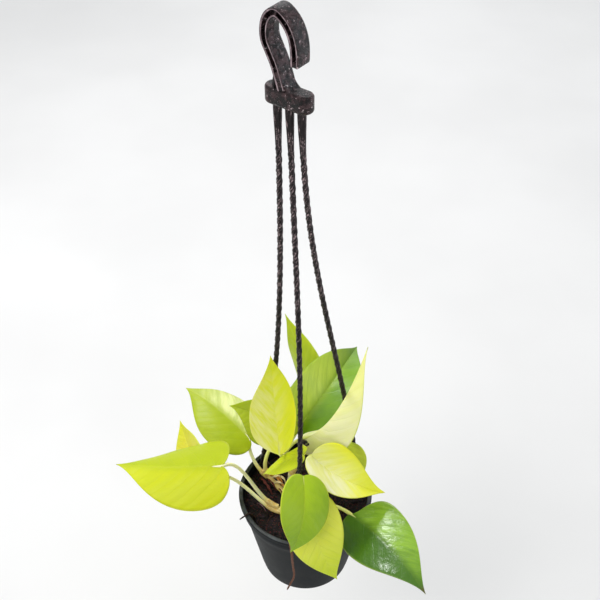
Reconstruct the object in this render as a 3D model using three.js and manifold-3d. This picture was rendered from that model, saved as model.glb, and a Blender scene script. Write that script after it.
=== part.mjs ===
// A young pothos in a hanging nursery pot.
//
// Units are millimetres and +Z is up. Every piece is placed in the pot's frame, whose origin is
// the middle of the pot's base, and the whole plant hangs from the inside of its hook, which is
// the origin of the finished model. -Y is the front, where the lowest leaf hangs over the rim.
import * as THREE from 'three';
import { mergeVertices } from 'three/addons/utils/BufferGeometryUtils.js';
import Module from 'manifold-3d';

const wasm = await Module();
wasm.setup();

// ---------------------------------------------------------------- driving dimensions

// A 12 cm nursery pot
const POT_HEIGHT = 95;
const RIM_RADIUS = 60; // outside of the rolled lip
const LIP_HEIGHT = 3.5;
const LIP_INSET = 2.4; // the collar below the lip stands this far in
const COLLAR_HEIGHT = 13; // from the rim down to the step
const STEP_INSET = 1.6; // the tapered body starts this far inside the collar
const BASE_RADIUS = 40.5;
const WALL = 1.4;
const FLOOR = 1.6;
const FOOT_HEIGHT = 1.2; // the middle of the base stands this far off its foot ring
const POT_SIDES = 40;
const DRAIN_RADIUS = 4;
const DRAIN_CIRCLE = 27;
const DRAIN_COUNT = 6;

// The potting mix
const SOIL_HEIGHT = 84;
const SOIL_RELIEF = 1.1; // height of its lumps
const HOLE_CLEARANCE = 0.55; // round each stem

// The hanger: a hook on a cross bar, and three twisted strands
const HANG_POINT = new THREE.Vector3(-14.5, 4.5, 549); // inside top of the hook
const HUB = new THREE.Vector3(-10, 1, 487); // middle of the bar's underside
const HANGER_TURN = THREE.MathUtils.degToRad(-37); // the hook's plane, from +X
const HOOK_THICKNESS = 13;
const HOOK_BAND = 6.4; // width of the hook's section in its own plane
const POCKET_DEPTH = 4.6;
const POCKET_WIDTH = 3.2;
const BAR_LENGTH = 37;
const BAR_HEIGHT = 13;
const BAR_EDGE = 2; // rounding of the bar
const SOCKET_RADIUS = 3.1;
const SOCKET_DEPTH = 6;
const STRAND_RADIUS = 2.2;
const STRAND_SWELL = 0.9; // a strand is this much thicker where it leaves the bar
const STRAND_SPACING = 10; // along the bar
const STRAND_SIDES = 8;
const ANCHOR_HEIGHT = 87.6; // the studs that hold the strands to the collar
const ANCHOR_RADIUS = 53.2; // where a strand ends inside the collar
const SHANK_RADIUS = 1.7;
const SHANK_HOLE_RADIUS = 2.15;
const STUD_RADIUS = 3.3;
const STUD_THICKNESS = 1.8;

// The plant
const BLADE_THICKNESS = 0.7;
const KEEL_DEPTH = 1.0; // of the midrib, below the blade
const BLADE_ROWS = 10;
const BLADE_COLUMNS = [-1, -0.72, -0.4, -0.07, 0, 0.07, 0.4, 0.72, 1];
const PETIOLE_RADIUS = 1.5;
const PETIOLE_FLARE = 0.5; // the petiole is this much thicker where it leaves the stem
const SHEATH = 0.5; // the stem's collar stands this far proud of the petiole that it holds
const SEAT_GAP = 0.3;
const STEM_RADIUS = 3.1;
const STEM_FOOT = 60; // the stems go down to here in the potting mix

// ---------------------------------------------------------------- solids

const v3 = ([x, y, z]) => new THREE.Vector3(x, y, z);
const radians = THREE.MathUtils.degToRad;

// A closed geometry as a solid that can be joined and cut
function solid(geometry) {
  const bare = geometry.clone();
  bare.deleteAttribute('normal');
  bare.deleteAttribute('uv');
  const merged = mergeVertices(bare, 1e-4);
  const triangles = [];
  for (let i = 0; i < merged.index.count; i += 3) {
    const corner = [0, 1, 2].map((k) => merged.index.getX(i + k));
    if (new Set(corner).size === 3) triangles.push(...corner);
  }
  return new wasm.Manifold(new wasm.Mesh({
    numProp: 3,
    vertProperties: new Float32Array(merged.attributes.position.array),
    triVerts: new Uint32Array(triangles),
  }));
}

// A solid as a geometry
function geometryOf(body) {
  const mesh = body.getMesh();
  const geometry = new THREE.BufferGeometry();
  geometry.setAttribute('position', new THREE.BufferAttribute(mesh.vertProperties, 3));
  geometry.setIndex(new THREE.BufferAttribute(mesh.triVerts, 1));
  return geometry;
}

const joined = (bodies) => bodies.reduce((sum, body) => sum.add(body));

// A stretch of a longer curve, between two lengths along it
class Stretch extends THREE.Curve {
  constructor(whole, from, to) {
    super();
    this.whole = whole;
    this.from = from / whole.getLength();
    this.to = to / whole.getLength();
  }

  getPoint(t, target = new THREE.Vector3()) {
    return this.whole.getPointAt(Math.min(1, this.from + (this.to - this.from) * t), target);
  }
}

// A closed tube along a curve, whose radius is a function of the share of the way along
function tube(curve, steps, sides, radiusAt) {
  const thread = 0.1;
  const section = new THREE.Shape();
  for (let i = 0; i < sides; i += 1) {
    const angle = (2 * Math.PI * (i + 0.5)) / sides;
    const point = [thread * Math.cos(angle), thread * Math.sin(angle)];
    if (i === 0) section.moveTo(...point);
    else section.lineTo(...point);
  }
  const geometry = new THREE.ExtrudeGeometry(section, { steps, extrudePath: curve });
  const centres = curve.getSpacedPoints(steps);
  const position = geometry.attributes.position;
  const point = new THREE.Vector3();
  for (let i = 0; i < position.count; i += 1) {
    point.fromBufferAttribute(position, i);
    const gaps = centres.map((centre) => centre.distanceTo(point));
    const ring = gaps.indexOf(Math.min(...gaps));
    point.sub(centres[ring]).multiplyScalar(radiusAt(ring / steps) / thread).add(centres[ring]);
    position.setXYZ(i, ...point);
  }
  return solid(geometry);
}

// An upright cylinder from one height to another
function post(x, y, low, high, radius, sides) {
  const geometry = new THREE.CylinderGeometry(radius, radius, high - low, sides);
  geometry.rotateX(Math.PI / 2);
  geometry.translate(x, y, (low + high) / 2);
  return solid(geometry);
}

// A level cylinder that points away from the pot's axis, between two distances from it
function spoke(azimuth, height, near, far, radius, sides) {
  const geometry = new THREE.CylinderGeometry(radius, radius, far - near, sides);
  geometry.rotateZ(-Math.PI / 2);
  geometry.translate((near + far) / 2, 0, height);
  geometry.rotateZ(azimuth);
  return solid(geometry);
}

// ---------------------------------------------------------------- pot

const COLLAR_RADIUS = RIM_RADIUS - LIP_INSET;
const BODY_RADIUS = COLLAR_RADIUS - STEP_INSET;
const STEP_HEIGHT = POT_HEIGHT - COLLAR_HEIGHT;
const BASE_EDGE = 2; // rounding between the wall and the base

// The three places round the rim where the hanger's strands are fastened
const ANCHORS = { front: radians(-98.7), right: radians(21.3), left: radians(141.3) };

// Inside radius of the pot at a height
function insideRadius(height) {
  const share = Math.min(1, height / STEP_HEIGHT);
  const body = BASE_RADIUS + (BODY_RADIUS - BASE_RADIUS) * share - WALL;
  return height > STEP_HEIGHT - WALL ? COLLAR_RADIUS - WALL : body;
}

function potSolid() {
  const lipFloor = POT_HEIGHT - LIP_HEIGHT;
  const profile = [
    [0, FOOT_HEIGHT],
    [BASE_RADIUS - 7, FOOT_HEIGHT],
    [BASE_RADIUS - 6, 0],
    [BASE_RADIUS - BASE_EDGE, 0],
    [BASE_RADIUS, BASE_EDGE],
    [BODY_RADIUS, STEP_HEIGHT - 1],
    [COLLAR_RADIUS, STEP_HEIGHT],
    [COLLAR_RADIUS, lipFloor],
    [RIM_RADIUS - 0.4, lipFloor],
    [RIM_RADIUS, lipFloor + 0.6],
    [RIM_RADIUS, POT_HEIGHT - 1],
    [RIM_RADIUS - 1, POT_HEIGHT],
    [COLLAR_RADIUS - WALL + 0.8, POT_HEIGHT],
    [COLLAR_RADIUS - WALL, POT_HEIGHT - 0.8],
    [COLLAR_RADIUS - WALL, STEP_HEIGHT - WALL],
    [insideRadius(STEP_HEIGHT - WALL - 1), STEP_HEIGHT - WALL - 1],
    [insideRadius(FOOT_HEIGHT + FLOOR), FOOT_HEIGHT + FLOOR],
    [0, FOOT_HEIGHT + FLOOR],
  ];
  const turned = new THREE.LatheGeometry(profile.map(([r, z]) => new THREE.Vector2(r, z)), POT_SIDES);
  turned.rotateX(Math.PI / 2);
  let pot = solid(turned);
  for (let i = 0; i < DRAIN_COUNT; i += 1) {
    const angle = (2 * Math.PI * (i + 0.5)) / DRAIN_COUNT;
    const x = DRAIN_CIRCLE * Math.cos(angle);
    const y = DRAIN_CIRCLE * Math.sin(angle);
    pot = pot.subtract(post(x, y, -5, 10, DRAIN_RADIUS, 12));
  }
  for (const azimuth of Object.values(ANCHORS)) {
    pot = pot.subtract(spoke(azimuth, ANCHOR_HEIGHT, 50, 65, SHANK_HOLE_RADIUS, 12));
  }
  return pot;
}

// ---------------------------------------------------------------- potting mix

// Low lumps of the surface
function lump(x, y) {
  const broad = Math.sin(x * 0.17 + 1.3) * Math.cos(y * 0.21 - 0.4);
  const small = Math.sin(x * 0.41 - y * 0.33) * Math.cos(x * 0.29 + y * 0.47);
  return SOIL_RELIEF * (0.6 * broad + 0.4 * small);
}

function soilSolid(stems) {
  const shelf = STEP_HEIGHT - WALL - 0.9;
  const bottom = FOOT_HEIGHT + FLOOR + 0.3;
  const edge = COLLAR_RADIUS - WALL - 0.4;
  const profile = [
    [0, bottom],
    [insideRadius(bottom) - 0.4, bottom],
    [insideRadius(shelf) - 0.4, shelf],
    [edge, STEP_HEIGHT - WALL + 0.7],
    [edge, SOIL_HEIGHT],
    [edge * 0.8, SOIL_HEIGHT],
    [edge * 0.6, SOIL_HEIGHT],
    [edge * 0.4, SOIL_HEIGHT],
    [edge * 0.2, SOIL_HEIGHT],
    [0, SOIL_HEIGHT],
  ];
  const turned = new THREE.LatheGeometry(profile.map(([r, z]) => new THREE.Vector2(r, z)), POT_SIDES);
  turned.rotateX(Math.PI / 2);
  const position = turned.attributes.position;
  for (let i = 0; i < position.count; i += 1) {
    const x = position.getX(i);
    const y = position.getY(i);
    const inner = Math.hypot(x, y) < edge * 0.9;
    if (position.getZ(i) > SOIL_HEIGHT - 0.1 && inner) position.setZ(i, SOIL_HEIGHT + lump(x, y));
  }
  let soil = solid(turned);
  for (const stem of stems) {
    const [x, y] = stem.route[0];
    const hole = STEM_RADIUS + HOLE_CLEARANCE;
    soil = soil.subtract(post(x, y, STEM_FOOT - 0.3, SOIL_HEIGHT + 5, hole, 16));
  }
  return soil;
}

// ---------------------------------------------------------------- hanger

// The middle of the hook's band, in the hook's plane: along the bar, and up from its underside.
// It rises from the bar to the left, goes over the top and ends in the free tip on the right.
const HOOK_MIDDLE = [
  [-2, 14], [-6.9, 29], [-11.2, 38], [-14.6, 45], [-15.2, 52], [-13.9, 58.5], [-11, 63.2],
  [-6.5, 65.9], [-1.5, 63.8], [3.4, 59], [6.6, 53], [8.2, 47], [8.7, 41], [8.6, 33.5],
];

// The stretches of the band, as shares of its length, that carry a pocket on each face
const POCKETS = [[0.13, 0.29], [0.31, 0.49], [0.51, 0.6], [0.62, 0.78], [0.8, 0.97]];

// A flat band of even width along a stretch of a curve in the hook's plane
function bandShape(curve, width, from, to, steps) {
  const outer = [];
  const inner = [];
  for (let i = 0; i <= steps; i += 1) {
    const share = from + ((to - from) * i) / steps;
    const point = curve.getPointAt(share);
    const along = curve.getTangentAt(share);
    const across = new THREE.Vector2(-along.y, along.x).multiplyScalar(width / 2);
    outer.push(point.clone().add(across));
    inner.unshift(point.clone().sub(across));
  }
  return new THREE.Shape([...outer, ...inner]);
}

// A shape in the hook's plane, as a plate between two distances from that plane
function plate(shape, near, far) {
  const geometry = new THREE.ExtrudeGeometry(shape, { depth: far - near, bevelEnabled: false });
  geometry.translate(0, 0, near);
  geometry.rotateX(Math.PI / 2);
  return solid(geometry);
}

function hookSolid() {
  const middle = new THREE.SplineCurve(HOOK_MIDDLE.map(([a, z]) => new THREE.Vector2(a, z)));
  const half = HOOK_THICKNESS / 2;
  const end = BAR_LENGTH / 2 - HOOK_THICKNESS / 2;

  const plan = new THREE.Shape();
  const round = HOOK_THICKNESS / 2 - BAR_EDGE;
  plan.absarc(end, 0, round, -Math.PI / 2, Math.PI / 2, false);
  plan.absarc(-end, 0, round, Math.PI / 2, Math.PI * 1.5, false);
  const bar = new THREE.ExtrudeGeometry(plan, {
    depth: BAR_HEIGHT - 2 * BAR_EDGE,
    bevelThickness: BAR_EDGE,
    bevelSize: BAR_EDGE,
    bevelSegments: 2,
    curveSegments: 5,
  });
  bar.translate(0, 0, BAR_EDGE + 1);

  // The foot spreads onto the bar, further on the free tip's side
  const foot = new THREE.Shape();
  foot.moveTo(-10, 11);
  foot.lineTo(-9, 20);
  foot.lineTo(-7.5, 29);
  foot.lineTo(-4.2, 29);
  foot.bezierCurveTo(-0.5, 19, 1, 13, 12, 11);
  foot.closePath();

  let hook = plate(bandShape(middle, HOOK_BAND, 0, 1, 22), -half, half);
  hook = joined([hook, plate(foot, -half + 1.2, half - 1.2), solid(bar)]);
  for (const [from, to] of POCKETS) {
    const pocket = bandShape(middle, POCKET_WIDTH, from, to, 5);
    hook = hook.subtract(plate(pocket, half - POCKET_DEPTH, half + 1));
    hook = hook.subtract(plate(pocket, -half - 1, -half + POCKET_DEPTH));
  }
  for (const side of [-1, 0, 1]) {
    hook = hook.subtract(post(side * STRAND_SPACING, 0, 0, SOCKET_DEPTH + 1, SOCKET_RADIUS, 12));
  }
  return hook;
}

// A point under the bar, at a distance along it
function underBar(along, height) {
  const x = HUB.x + along * Math.cos(HANGER_TURN);
  const y = HUB.y + along * Math.sin(HANGER_TURN);
  return new THREE.Vector3(x, y, HUB.z + height);
}

// Each strand hangs in a slack curve from the bar to its stud: its place on the bar, and the two
// points that draw the curve
const STRANDS = {
  front: { place: 0, draw: [[-7.9, 1, 347.6], [0.6, -12, 240.2]] },
  right: { place: 1, draw: [[-1.4, -1, 347.6], [31.5, 26, 240.2]] },
  left: { place: -1, draw: [[-17.2, 9, 347.6], [-18.1, 27, 240.2]] },
};

function strandSolid(side) {
  const { place, draw } = STRANDS[side];
  const azimuth = ANCHORS[side];
  const top = underBar(place * STRAND_SPACING, 0);
  const x = ANCHOR_RADIUS * Math.cos(azimuth);
  const y = ANCHOR_RADIUS * Math.sin(azimuth);
  const end = new THREE.Vector3(x, y, ANCHOR_HEIGHT - STRAND_RADIUS);
  const hanging = new THREE.CubicBezierCurve3(top, v3(draw[0]), v3(draw[1]), end);
  const plugTop = HUB.z + SOCKET_DEPTH + 0.6;
  const stud = COLLAR_RADIUS + SEAT_GAP;
  const swell = (share) => STRAND_SWELL * Math.max(0, 1 - share / 0.09);
  return joined([
    tube(hanging, 22, STRAND_SIDES, (share) => STRAND_RADIUS + swell(share)),
    post(top.x, top.y, HUB.z - 3, plugTop, STRAND_RADIUS + 0.3, STRAND_SIDES),
    spoke(azimuth, ANCHOR_HEIGHT, ANCHOR_RADIUS - 1, stud + 1, SHANK_RADIUS, STRAND_SIDES),
    spoke(azimuth, ANCHOR_HEIGHT, stud, stud + STUD_THICKNESS, STUD_RADIUS, 12),
  ]);
}

// ---------------------------------------------------------------- leaves

// Half the outline of a heart-shaped blade, in blade lengths and half widths, from the notch
// round the lobe and along the flank to the tip. lobe is the depth of the lobe, where 0 is a round
// base and less than 0 a drawn-out one.
function halfOutline(rows, lobe) {
  const at = (x, y) => new THREE.Vector2(x, y);
  const back = [at(-0.16 * lobe, 0.1), at(-0.14 * lobe, 1)];
  const outline = new THREE.CurvePath();
  outline.add(new THREE.CubicBezierCurve(at(0, 0), ...back, at(0.26, 1)));
  outline.add(new THREE.CubicBezierCurve(at(0.26, 1), at(0.62, 1), at(0.8, 0.16), at(1, 0)));
  return outline.getSpacedPoints(rows);
}

// The blade of a leaf: a function that gives the place and the upward normal of a point of the
// sheet. The midrib is an arched curve from base to tip; roll turns the blade about it, fold
// lifts or drops its halves, curl bends them on towards their margins, and twist turns the blade
// on its way to the tip. Angles are in degrees.
function bladeSheet({ base, tip, width, roll, fold, curl, arch, bend, twist }) {
  const start = v3(base);
  const end = v3(tip);
  const length = start.distanceTo(end);
  const chord = end.clone().sub(start).divideScalar(length);
  const level = new THREE.Vector3(0, 0, 1).addScaledVector(chord, -chord.z).normalize();
  const aside = chord.clone().cross(level);
  const turn = radians(roll);
  const up = level.multiplyScalar(Math.cos(turn)).addScaledVector(aside, Math.sin(turn));
  const right = chord.clone().cross(up);
  const bow = up.clone().multiplyScalar(arch * length).addScaledVector(right, bend * length);
  const third = start.clone().addScaledVector(chord, length / 3).add(bow);
  const twoThirds = start.clone().addScaledVector(chord, (2 * length) / 3).add(bow);
  const midrib = new THREE.CubicBezierCurve3(start, third, twoThirds, end);
  const bendRate = radians(curl || 0.1) / (width / 2);

  return function at(x, y) {
    const share = THREE.MathUtils.clamp(x, 0, 1);
    const along = midrib.getTangent(share);
    const centre = midrib.getPoint(share).addScaledVector(along, (x - share) * length);
    const side = right.clone().addScaledVector(along, -along.dot(right)).normalize();
    const normal = side.clone().cross(along);
    const twisting = radians(twist) * (share - 0.3);
    const across = side.clone().multiplyScalar(Math.cos(twisting));
    across.addScaledVector(normal, Math.sin(twisting));
    normal.multiplyScalar(Math.cos(twisting)).addScaledVector(side, -Math.sin(twisting));

    const out = (Math.abs(y) * width) / 2;
    const first = radians(fold);
    const slope = first + bendRate * out;
    const reach = (Math.sin(slope) - Math.sin(first)) / bendRate;
    const rise = (Math.cos(first) - Math.cos(slope)) / bendRate;
    const hand = Math.sign(y);
    const place = centre.addScaledVector(across, hand * reach).addScaledVector(normal, rise);
    const face = normal.clone().multiplyScalar(Math.cos(hand ? slope : 0));
    face.addScaledVector(across, -hand * Math.sin(slope));
    return { place, face, along };
  };
}

// The blade as a closed solid: its upper and lower faces are split into triangles alike
function bladeSolid(leaf) {
  const sheet = bladeSheet(leaf);
  const [left, right] = (leaf.lobes ?? [1, 1]).map((lobe) => halfOutline(BLADE_ROWS, lobe));
  const columns = BLADE_COLUMNS.length;
  const upper = [];
  const lower = [];
  for (let row = 0; row <= BLADE_ROWS; row += 1) {
    const ribShare = (row / BLADE_ROWS) ** 1.3;
    for (const v of BLADE_COLUMNS) {
      const edge = v < 0 ? left[row] : right[row];
      const { place, face } = sheet(ribShare + (edge.x - ribShare) * Math.abs(v), edge.y * v);
      const keel = v === 0 ? KEEL_DEPTH * (1 - ribShare) : 0;
      upper.push(place);
      lower.push(place.clone().addScaledVector(face, -BLADE_THICKNESS - keel));
    }
  }

  // The first and last rows close to a point; every other row spans the blade
  const vertex = (row, column) => {
    if (row === 0 || row === BLADE_ROWS) return row * columns;
    return row * columns + column;
  };
  const faces = [];
  for (let row = 0; row < BLADE_ROWS; row += 1) {
    for (let column = 0; column < columns - 1; column += 1) {
      const a = vertex(row, column);
      const b = vertex(row, column + 1);
      const c = vertex(row + 1, column + 1);
      const d = vertex(row + 1, column);
      if (column < (columns - 1) / 2) faces.push([a, b, d], [b, c, d]);
      else faces.push([a, b, c], [a, c, d]);
    }
  }
  const whole = faces.filter(([a, b, c]) => a !== b && b !== c && c !== a);
  const shift = upper.length;
  const triangles = [];
  for (const [a, b, c] of whole) {
    triangles.push(a, b, c, shift + a, shift + c, shift + b);
  }
  for (let row = 0; row < BLADE_ROWS; row += 1) {
    for (const column of [0, columns - 1]) {
      let a = vertex(row, column);
      let b = vertex(row + 1, column);
      if (column === 0) [a, b] = [b, a];
      triangles.push(a, shift + a, shift + b, a, shift + b, b);
    }
  }
  const geometry = new THREE.BufferGeometry().setFromPoints([...upper, ...lower]);
  geometry.setIndex(triangles);
  return solid(geometry);
}

// The whole way of a petiole, from the middle of its stem to the underside of its blade
function petioleRoute(leaf) {
  const sheet = bladeSheet(leaf);
  const under = (x) => {
    const { place, face } = sheet(x, 0);
    return place.addScaledVector(face, -PETIOLE_RADIUS * 0.8);
  };
  const [from, ...draw] = leaf.petiole;
  const route = new THREE.CurvePath();
  route.add(new THREE.CubicBezierCurve3(v3(from), v3(draw[0]), v3(draw[1]), under(0)));
  route.add(new THREE.LineCurve3(under(0), under(0.07)));
  return route;
}

function leafSolid(leaf) {
  const route = petioleRoute(leaf);
  const length = route.getLength();
  const petiole = new Stretch(route, leaf.seat + SEAT_GAP, length);
  const thickness = (share) => {
    const ending = share > 0.999 ? 0.35 : 0;
    return PETIOLE_RADIUS + PETIOLE_FLARE * (1 - share) ** 2 - ending;
  };
  return bladeSolid(leaf).add(tube(petiole, 10, 7, thickness));
}

// Every leaf by its blade's base and tip. petiole gives where it springs from the stem and the
// two points that draw its curve; seat is the length of it that the stem's sheath holds. lobes
// gives the depth of its left and right lobe, where they are shallow.
const LEAVES = [
  {
    name: 'left_large', stem: 'left', colour: 0xc9d92e,
    base: [-72.5, -14, 146.5], tip: [-169, 10, 121], width: 76.5,
    roll: -10, fold: -12, curl: -25, arch: -0.02, bend: -0.01, twist: -31, lobes: [0.9, 0.45],
    petiole: [[-24.5, -14.6, 90.2], [-46, -10.5, 96], [-54, 0, 146]], seat: 11.5,
  },
  {
    name: 'left_back', stem: 'left', colour: 0xb9c93a,
    base: [-92.5, 7, 100], tip: [-117.5, 67, 115.5], width: 40,
    roll: -52, fold: 15, curl: 2, arch: 0.03, bend: 0, twist: -3,
    petiole: [[-22, -17.5, 87.6], [-44, -14, 87], [-62, 14, 122]], seat: 13,
  },
  {
    name: 'upper_left', stem: 'back_left', colour: 0xb4c83c,
    base: [-50.5, 42, 118], tip: [-113, 95, 130.5], width: 62.5,
    roll: 4, fold: 1, curl: -29, arch: 0.1, bend: 0, twist: 21,
    petiole: [[-34, 20, 90], [-45, 22, 98], [-53, 31, 115]], seat: 8,
  },
  {
    name: 'behind_centre', stem: 'back_left', colour: 0xa9c04a,
    base: [-21.5, 40, 124.5], tip: [-68.5, 52.5, 150.5], width: 48,
    roll: -70, fold: 15, curl: -7, arch: 0.03, bend: 0.17, twist: -18,
    petiole: [[-34, 20, 91], [-41, 20, 106], [-33, 23, 130]], seat: 9,
  },
  {
    name: 'centre', stem: 'centre', colour: 0xdfe455,
    base: [-22, -11, 155.5], tip: [-28, 16.5, 248], width: 46,
    roll: -33, fold: 9, curl: 25, arch: -0.148, bend: -0.075, twist: -71, lobes: [-0.2, -0.2],
    petiole: [[-13, 11, 108], [-14, 15, 130], [-19, 8, 150]], seat: 9,
  },
  {
    name: 'centre_small', stem: 'centre', colour: 0xd6de4e,
    base: [-3.5, -12.5, 158.5], tip: [-37.5, -5, 123.5], width: 29,
    roll: 4, fold: 5, curl: -19, arch: 0.07, bend: -0.02, twist: -9,
    petiole: [[-12, 9, 108], [-5, 8, 128], [2, -2, 158]], seat: 8,
  },
  {
    name: 'top_back', stem: 'back', colour: 0xb2c44a,
    base: [7, 73.5, 134.5], tip: [-18, 123.5, 198.5], width: 43,
    roll: -70, fold: -1, curl: -29, arch: -0.02, bend: 0.03, twist: -18,
    petiole: [[-25, 25, 92], [-20, 45, 100], [2, 66, 118]], seat: 9,
  },
  {
    name: 'back_dark', stem: 'back', colour: 0x6ea53c,
    base: [-4.5, 47.5, 128.5], tip: [50.5, 124, 156], width: 64.5,
    roll: 27, fold: 27, curl: 5, arch: 0.26, bend: -0.01, twist: -5,
    petiole: [[-24, 25, 96], [-19, 34, 112], [-12, 42, 124]], seat: 9,
  },
  {
    name: 'right_pale', stem: 'back', colour: 0xeff2a6,
    base: [-3, 22.5, 140.5], tip: [52.5, 36.5, 238.5], width: 57.5,
    roll: -14, fold: -29, curl: -61, arch: 0.01, bend: 0.31, twist: -2,
    petiole: [[-24, 23, 97], [-21, 24, 116], [-12, 24, 136]], seat: 9,
  },
  {
    name: 'right_yellow', stem: 'right', colour: 0xe4e95e,
    base: [5.5, -17, 162.5], tip: [68, -33.5, 134], width: 49,
    roll: 22, fold: 36, curl: -7, arch: -0.03, bend: 0.1, twist: -3, lobes: [0.35, 0.55],
    petiole: [[9, -11, 106], [6, -6, 126], [1, -9, 154]], seat: 8,
  },
  {
    name: 'right_back', stem: 'right', colour: 0xb0c243,
    base: [30, 14, 134], tip: [44, -26.5, 124], width: 43.5,
    roll: 23, fold: 8, curl: -26, arch: -0.06, bend: 0.05, twist: 21,
    petiole: [[10, -10, 104], [15, 0, 118], [22, 12, 132]], seat: 8,
  },
  {
    name: 'front_green', stem: 'right', colour: 0x93bb45,
    base: [-2, -47.5, 173], tip: [-13, -82.5, 118], width: 46.5,
    roll: -43, fold: 16, curl: -25, arch: 0.24, bend: 0.013, twist: -32, lobes: [0.3, 0.3],
    petiole: [[9, -13, 100], [12, -30, 128], [3, -46, 162]], seat: 9,
  },
  {
    name: 'front_lime', stem: 'right', colour: 0xc8da45,
    base: [2.5, -51, 142], tip: [26.5, -84, 81], width: 49,
    roll: 28, fold: 7, curl: -29, arch: 0.17, bend: 0.06, twist: -4,
    petiole: [[9, -14, 94], [13, -26, 108], [8, -38, 134]], seat: 8,
  },
  {
    name: 'right_dark', stem: 'right', colour: 0x5e9438,
    base: [38.6, -36, 108], tip: [96, -118, 111], width: 57,
    roll: 22.5, fold: -2, curl: -4, arch: 0.05, bend: -0.06, twist: 22, lobes: [-0.5, 0.3],
    petiole: [[10, -13, 91], [19, -19, 100], [28, -26, 108]], seat: 8,
  },
];

// ---------------------------------------------------------------- stems

// The vine's cuttings: each stands in its hole in the potting mix and follows these points
const STEMS = [
  { name: 'left', route: [[-15, -18], [-16, -18, 87], [-21, -17, 88], [-26.5, -14.5, 89.5]] },
  { name: 'back_left', route: [[-19, 3], [-20, 4, 88], [-27, 11.5, 89.5], [-35, 21, 92]] },
  { name: 'centre', route: [[-14, 12], [-14, 12, 88], [-13.5, 11, 98], [-12.5, 10, 110]] },
  { name: 'back', route: [[-26, 25], [-26, 25, 88], [-25, 24.5, 93], [-23.5, 24, 99]] },
  { name: 'right', route: [[9, -13], [9, -13, 88], [9, -12.5, 97], [9.5, -11, 108]] },
];

function stemSolid(stem) {
  const [[x, y], ...bends] = stem.route;
  const points = [v3([x, y, STEM_FOOT]), v3([x, y, SOIL_HEIGHT - 6]), ...bends.map(v3)];
  const curve = new THREE.CatmullRomCurve3(points, false, 'centripetal');
  const parts = [tube(curve, 9, 10, (share) => STEM_RADIUS * (1 - 0.12 * share))];
  for (const leaf of LEAVES.filter((each) => each.stem === stem.name)) {
    const held = new Stretch(petioleRoute(leaf), 0, leaf.seat);
    const radius = PETIOLE_RADIUS + PETIOLE_FLARE + SHEATH;
    parts.push(tube(held, 3, 7, (share) => radius - 0.2 * share));
  }
  return joined(parts);
}

// ---------------------------------------------------------------- loose ends of the plant

// A brown air root that grows from the left stem, goes over the rim and hangs down the pot
const ROOT_RADIUS = 1.35;
const ROOT_ROUTE = [
  [-15.2, -21.6, 87], [-14.6, -34, 88], [-14.5, -46, 91.5], [-14.2, -52.6, 96],
  [-13.7, -57.5, 96.9], [-12.5, -63.4, 92.5], [-11.4, -62.6, 72], [-10.6, -62, 53],
  [-14, -62, 41.5], [-17, -62, 32],
];

// A scrap of coir that lies over the rim
const TWIG_RADIUS = 0.8;
const TWIG_ROUTE = [
  [-45, -22.5, 85.3], [-48.3, -24, 92], [-50.2, -26.3, 96.2], [-53.5, -29, 96.4], [-58, -32, 95.4],
];

function fibreSolid(route, radius, steps) {
  const curve = new THREE.CatmullRomCurve3(route.map(v3), false, 'centripetal');
  return tube(curve, steps, 6, (share) => radius * (1 - 0.45 * share));
}

// ---------------------------------------------------------------- assembly

const potted = new THREE.Group();
potted.position.copy(HANG_POINT).negate();

function place(name, body, color, roughness, parent = potted) {
  const material = new THREE.MeshStandardMaterial({ color, roughness, metalness: 0 });
  const mesh = new THREE.Mesh(geometryOf(body), material);
  mesh.name = name;
  parent.add(mesh);
  return mesh;
}

const CHARCOAL = 0x34393d;
const BROWN_BLACK = 0x231d1c;
const PEAT = 0x2e1915;
const ROOT_BROWN = 0x6b452c;
const STEM_CREAM = 0xcdc67e;

place('pot', potSolid(), CHARCOAL, 0.55);
place('soil', soilSolid(STEMS), PEAT, 0.95);
const hook = place('hook', hookSolid(), BROWN_BLACK, 0.4);
hook.position.copy(HUB);
hook.rotation.z = HANGER_TURN;
for (const side of Object.keys(STRANDS)) {
  place(`strand_${side}`, strandSolid(side), BROWN_BLACK, 0.4);
}
for (const stem of STEMS) {
  place(`stem_${stem.name}`, stemSolid(stem), STEM_CREAM, 0.5);
}
for (const leaf of LEAVES) {
  place(`leaf_${leaf.name}`, leafSolid(leaf), leaf.colour, 0.4);
}
place('air_root', fibreSolid(ROOT_ROUTE, ROOT_RADIUS, 22), ROOT_BROWN, 0.9);
place('coir_scrap', fibreSolid(TWIG_ROUTE, TWIG_RADIUS, 8), ROOT_BROWN, 0.9);

const plant = new THREE.Group();
plant.add(potted);

export default plant;
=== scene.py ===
"""A young golden pothos in a hanging nursery pot.

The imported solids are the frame. Each of them is stood for by a finer piece of the same form:
waxy blades with veins, twisted strands, a moulded hook and pot, and a rough coir mix.
Lengths are millimetres in the pot's own frame, whose origin is the middle of the pot's base,
until placed() turns a point into metres in the part's frame.
"""

import bisect
import logging
import math
import random
from dataclasses import dataclass
from enum import Enum
from typing import Callable, Sequence

import bmesh
import bpy
from mathutils import Matrix, Vector, noise


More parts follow.
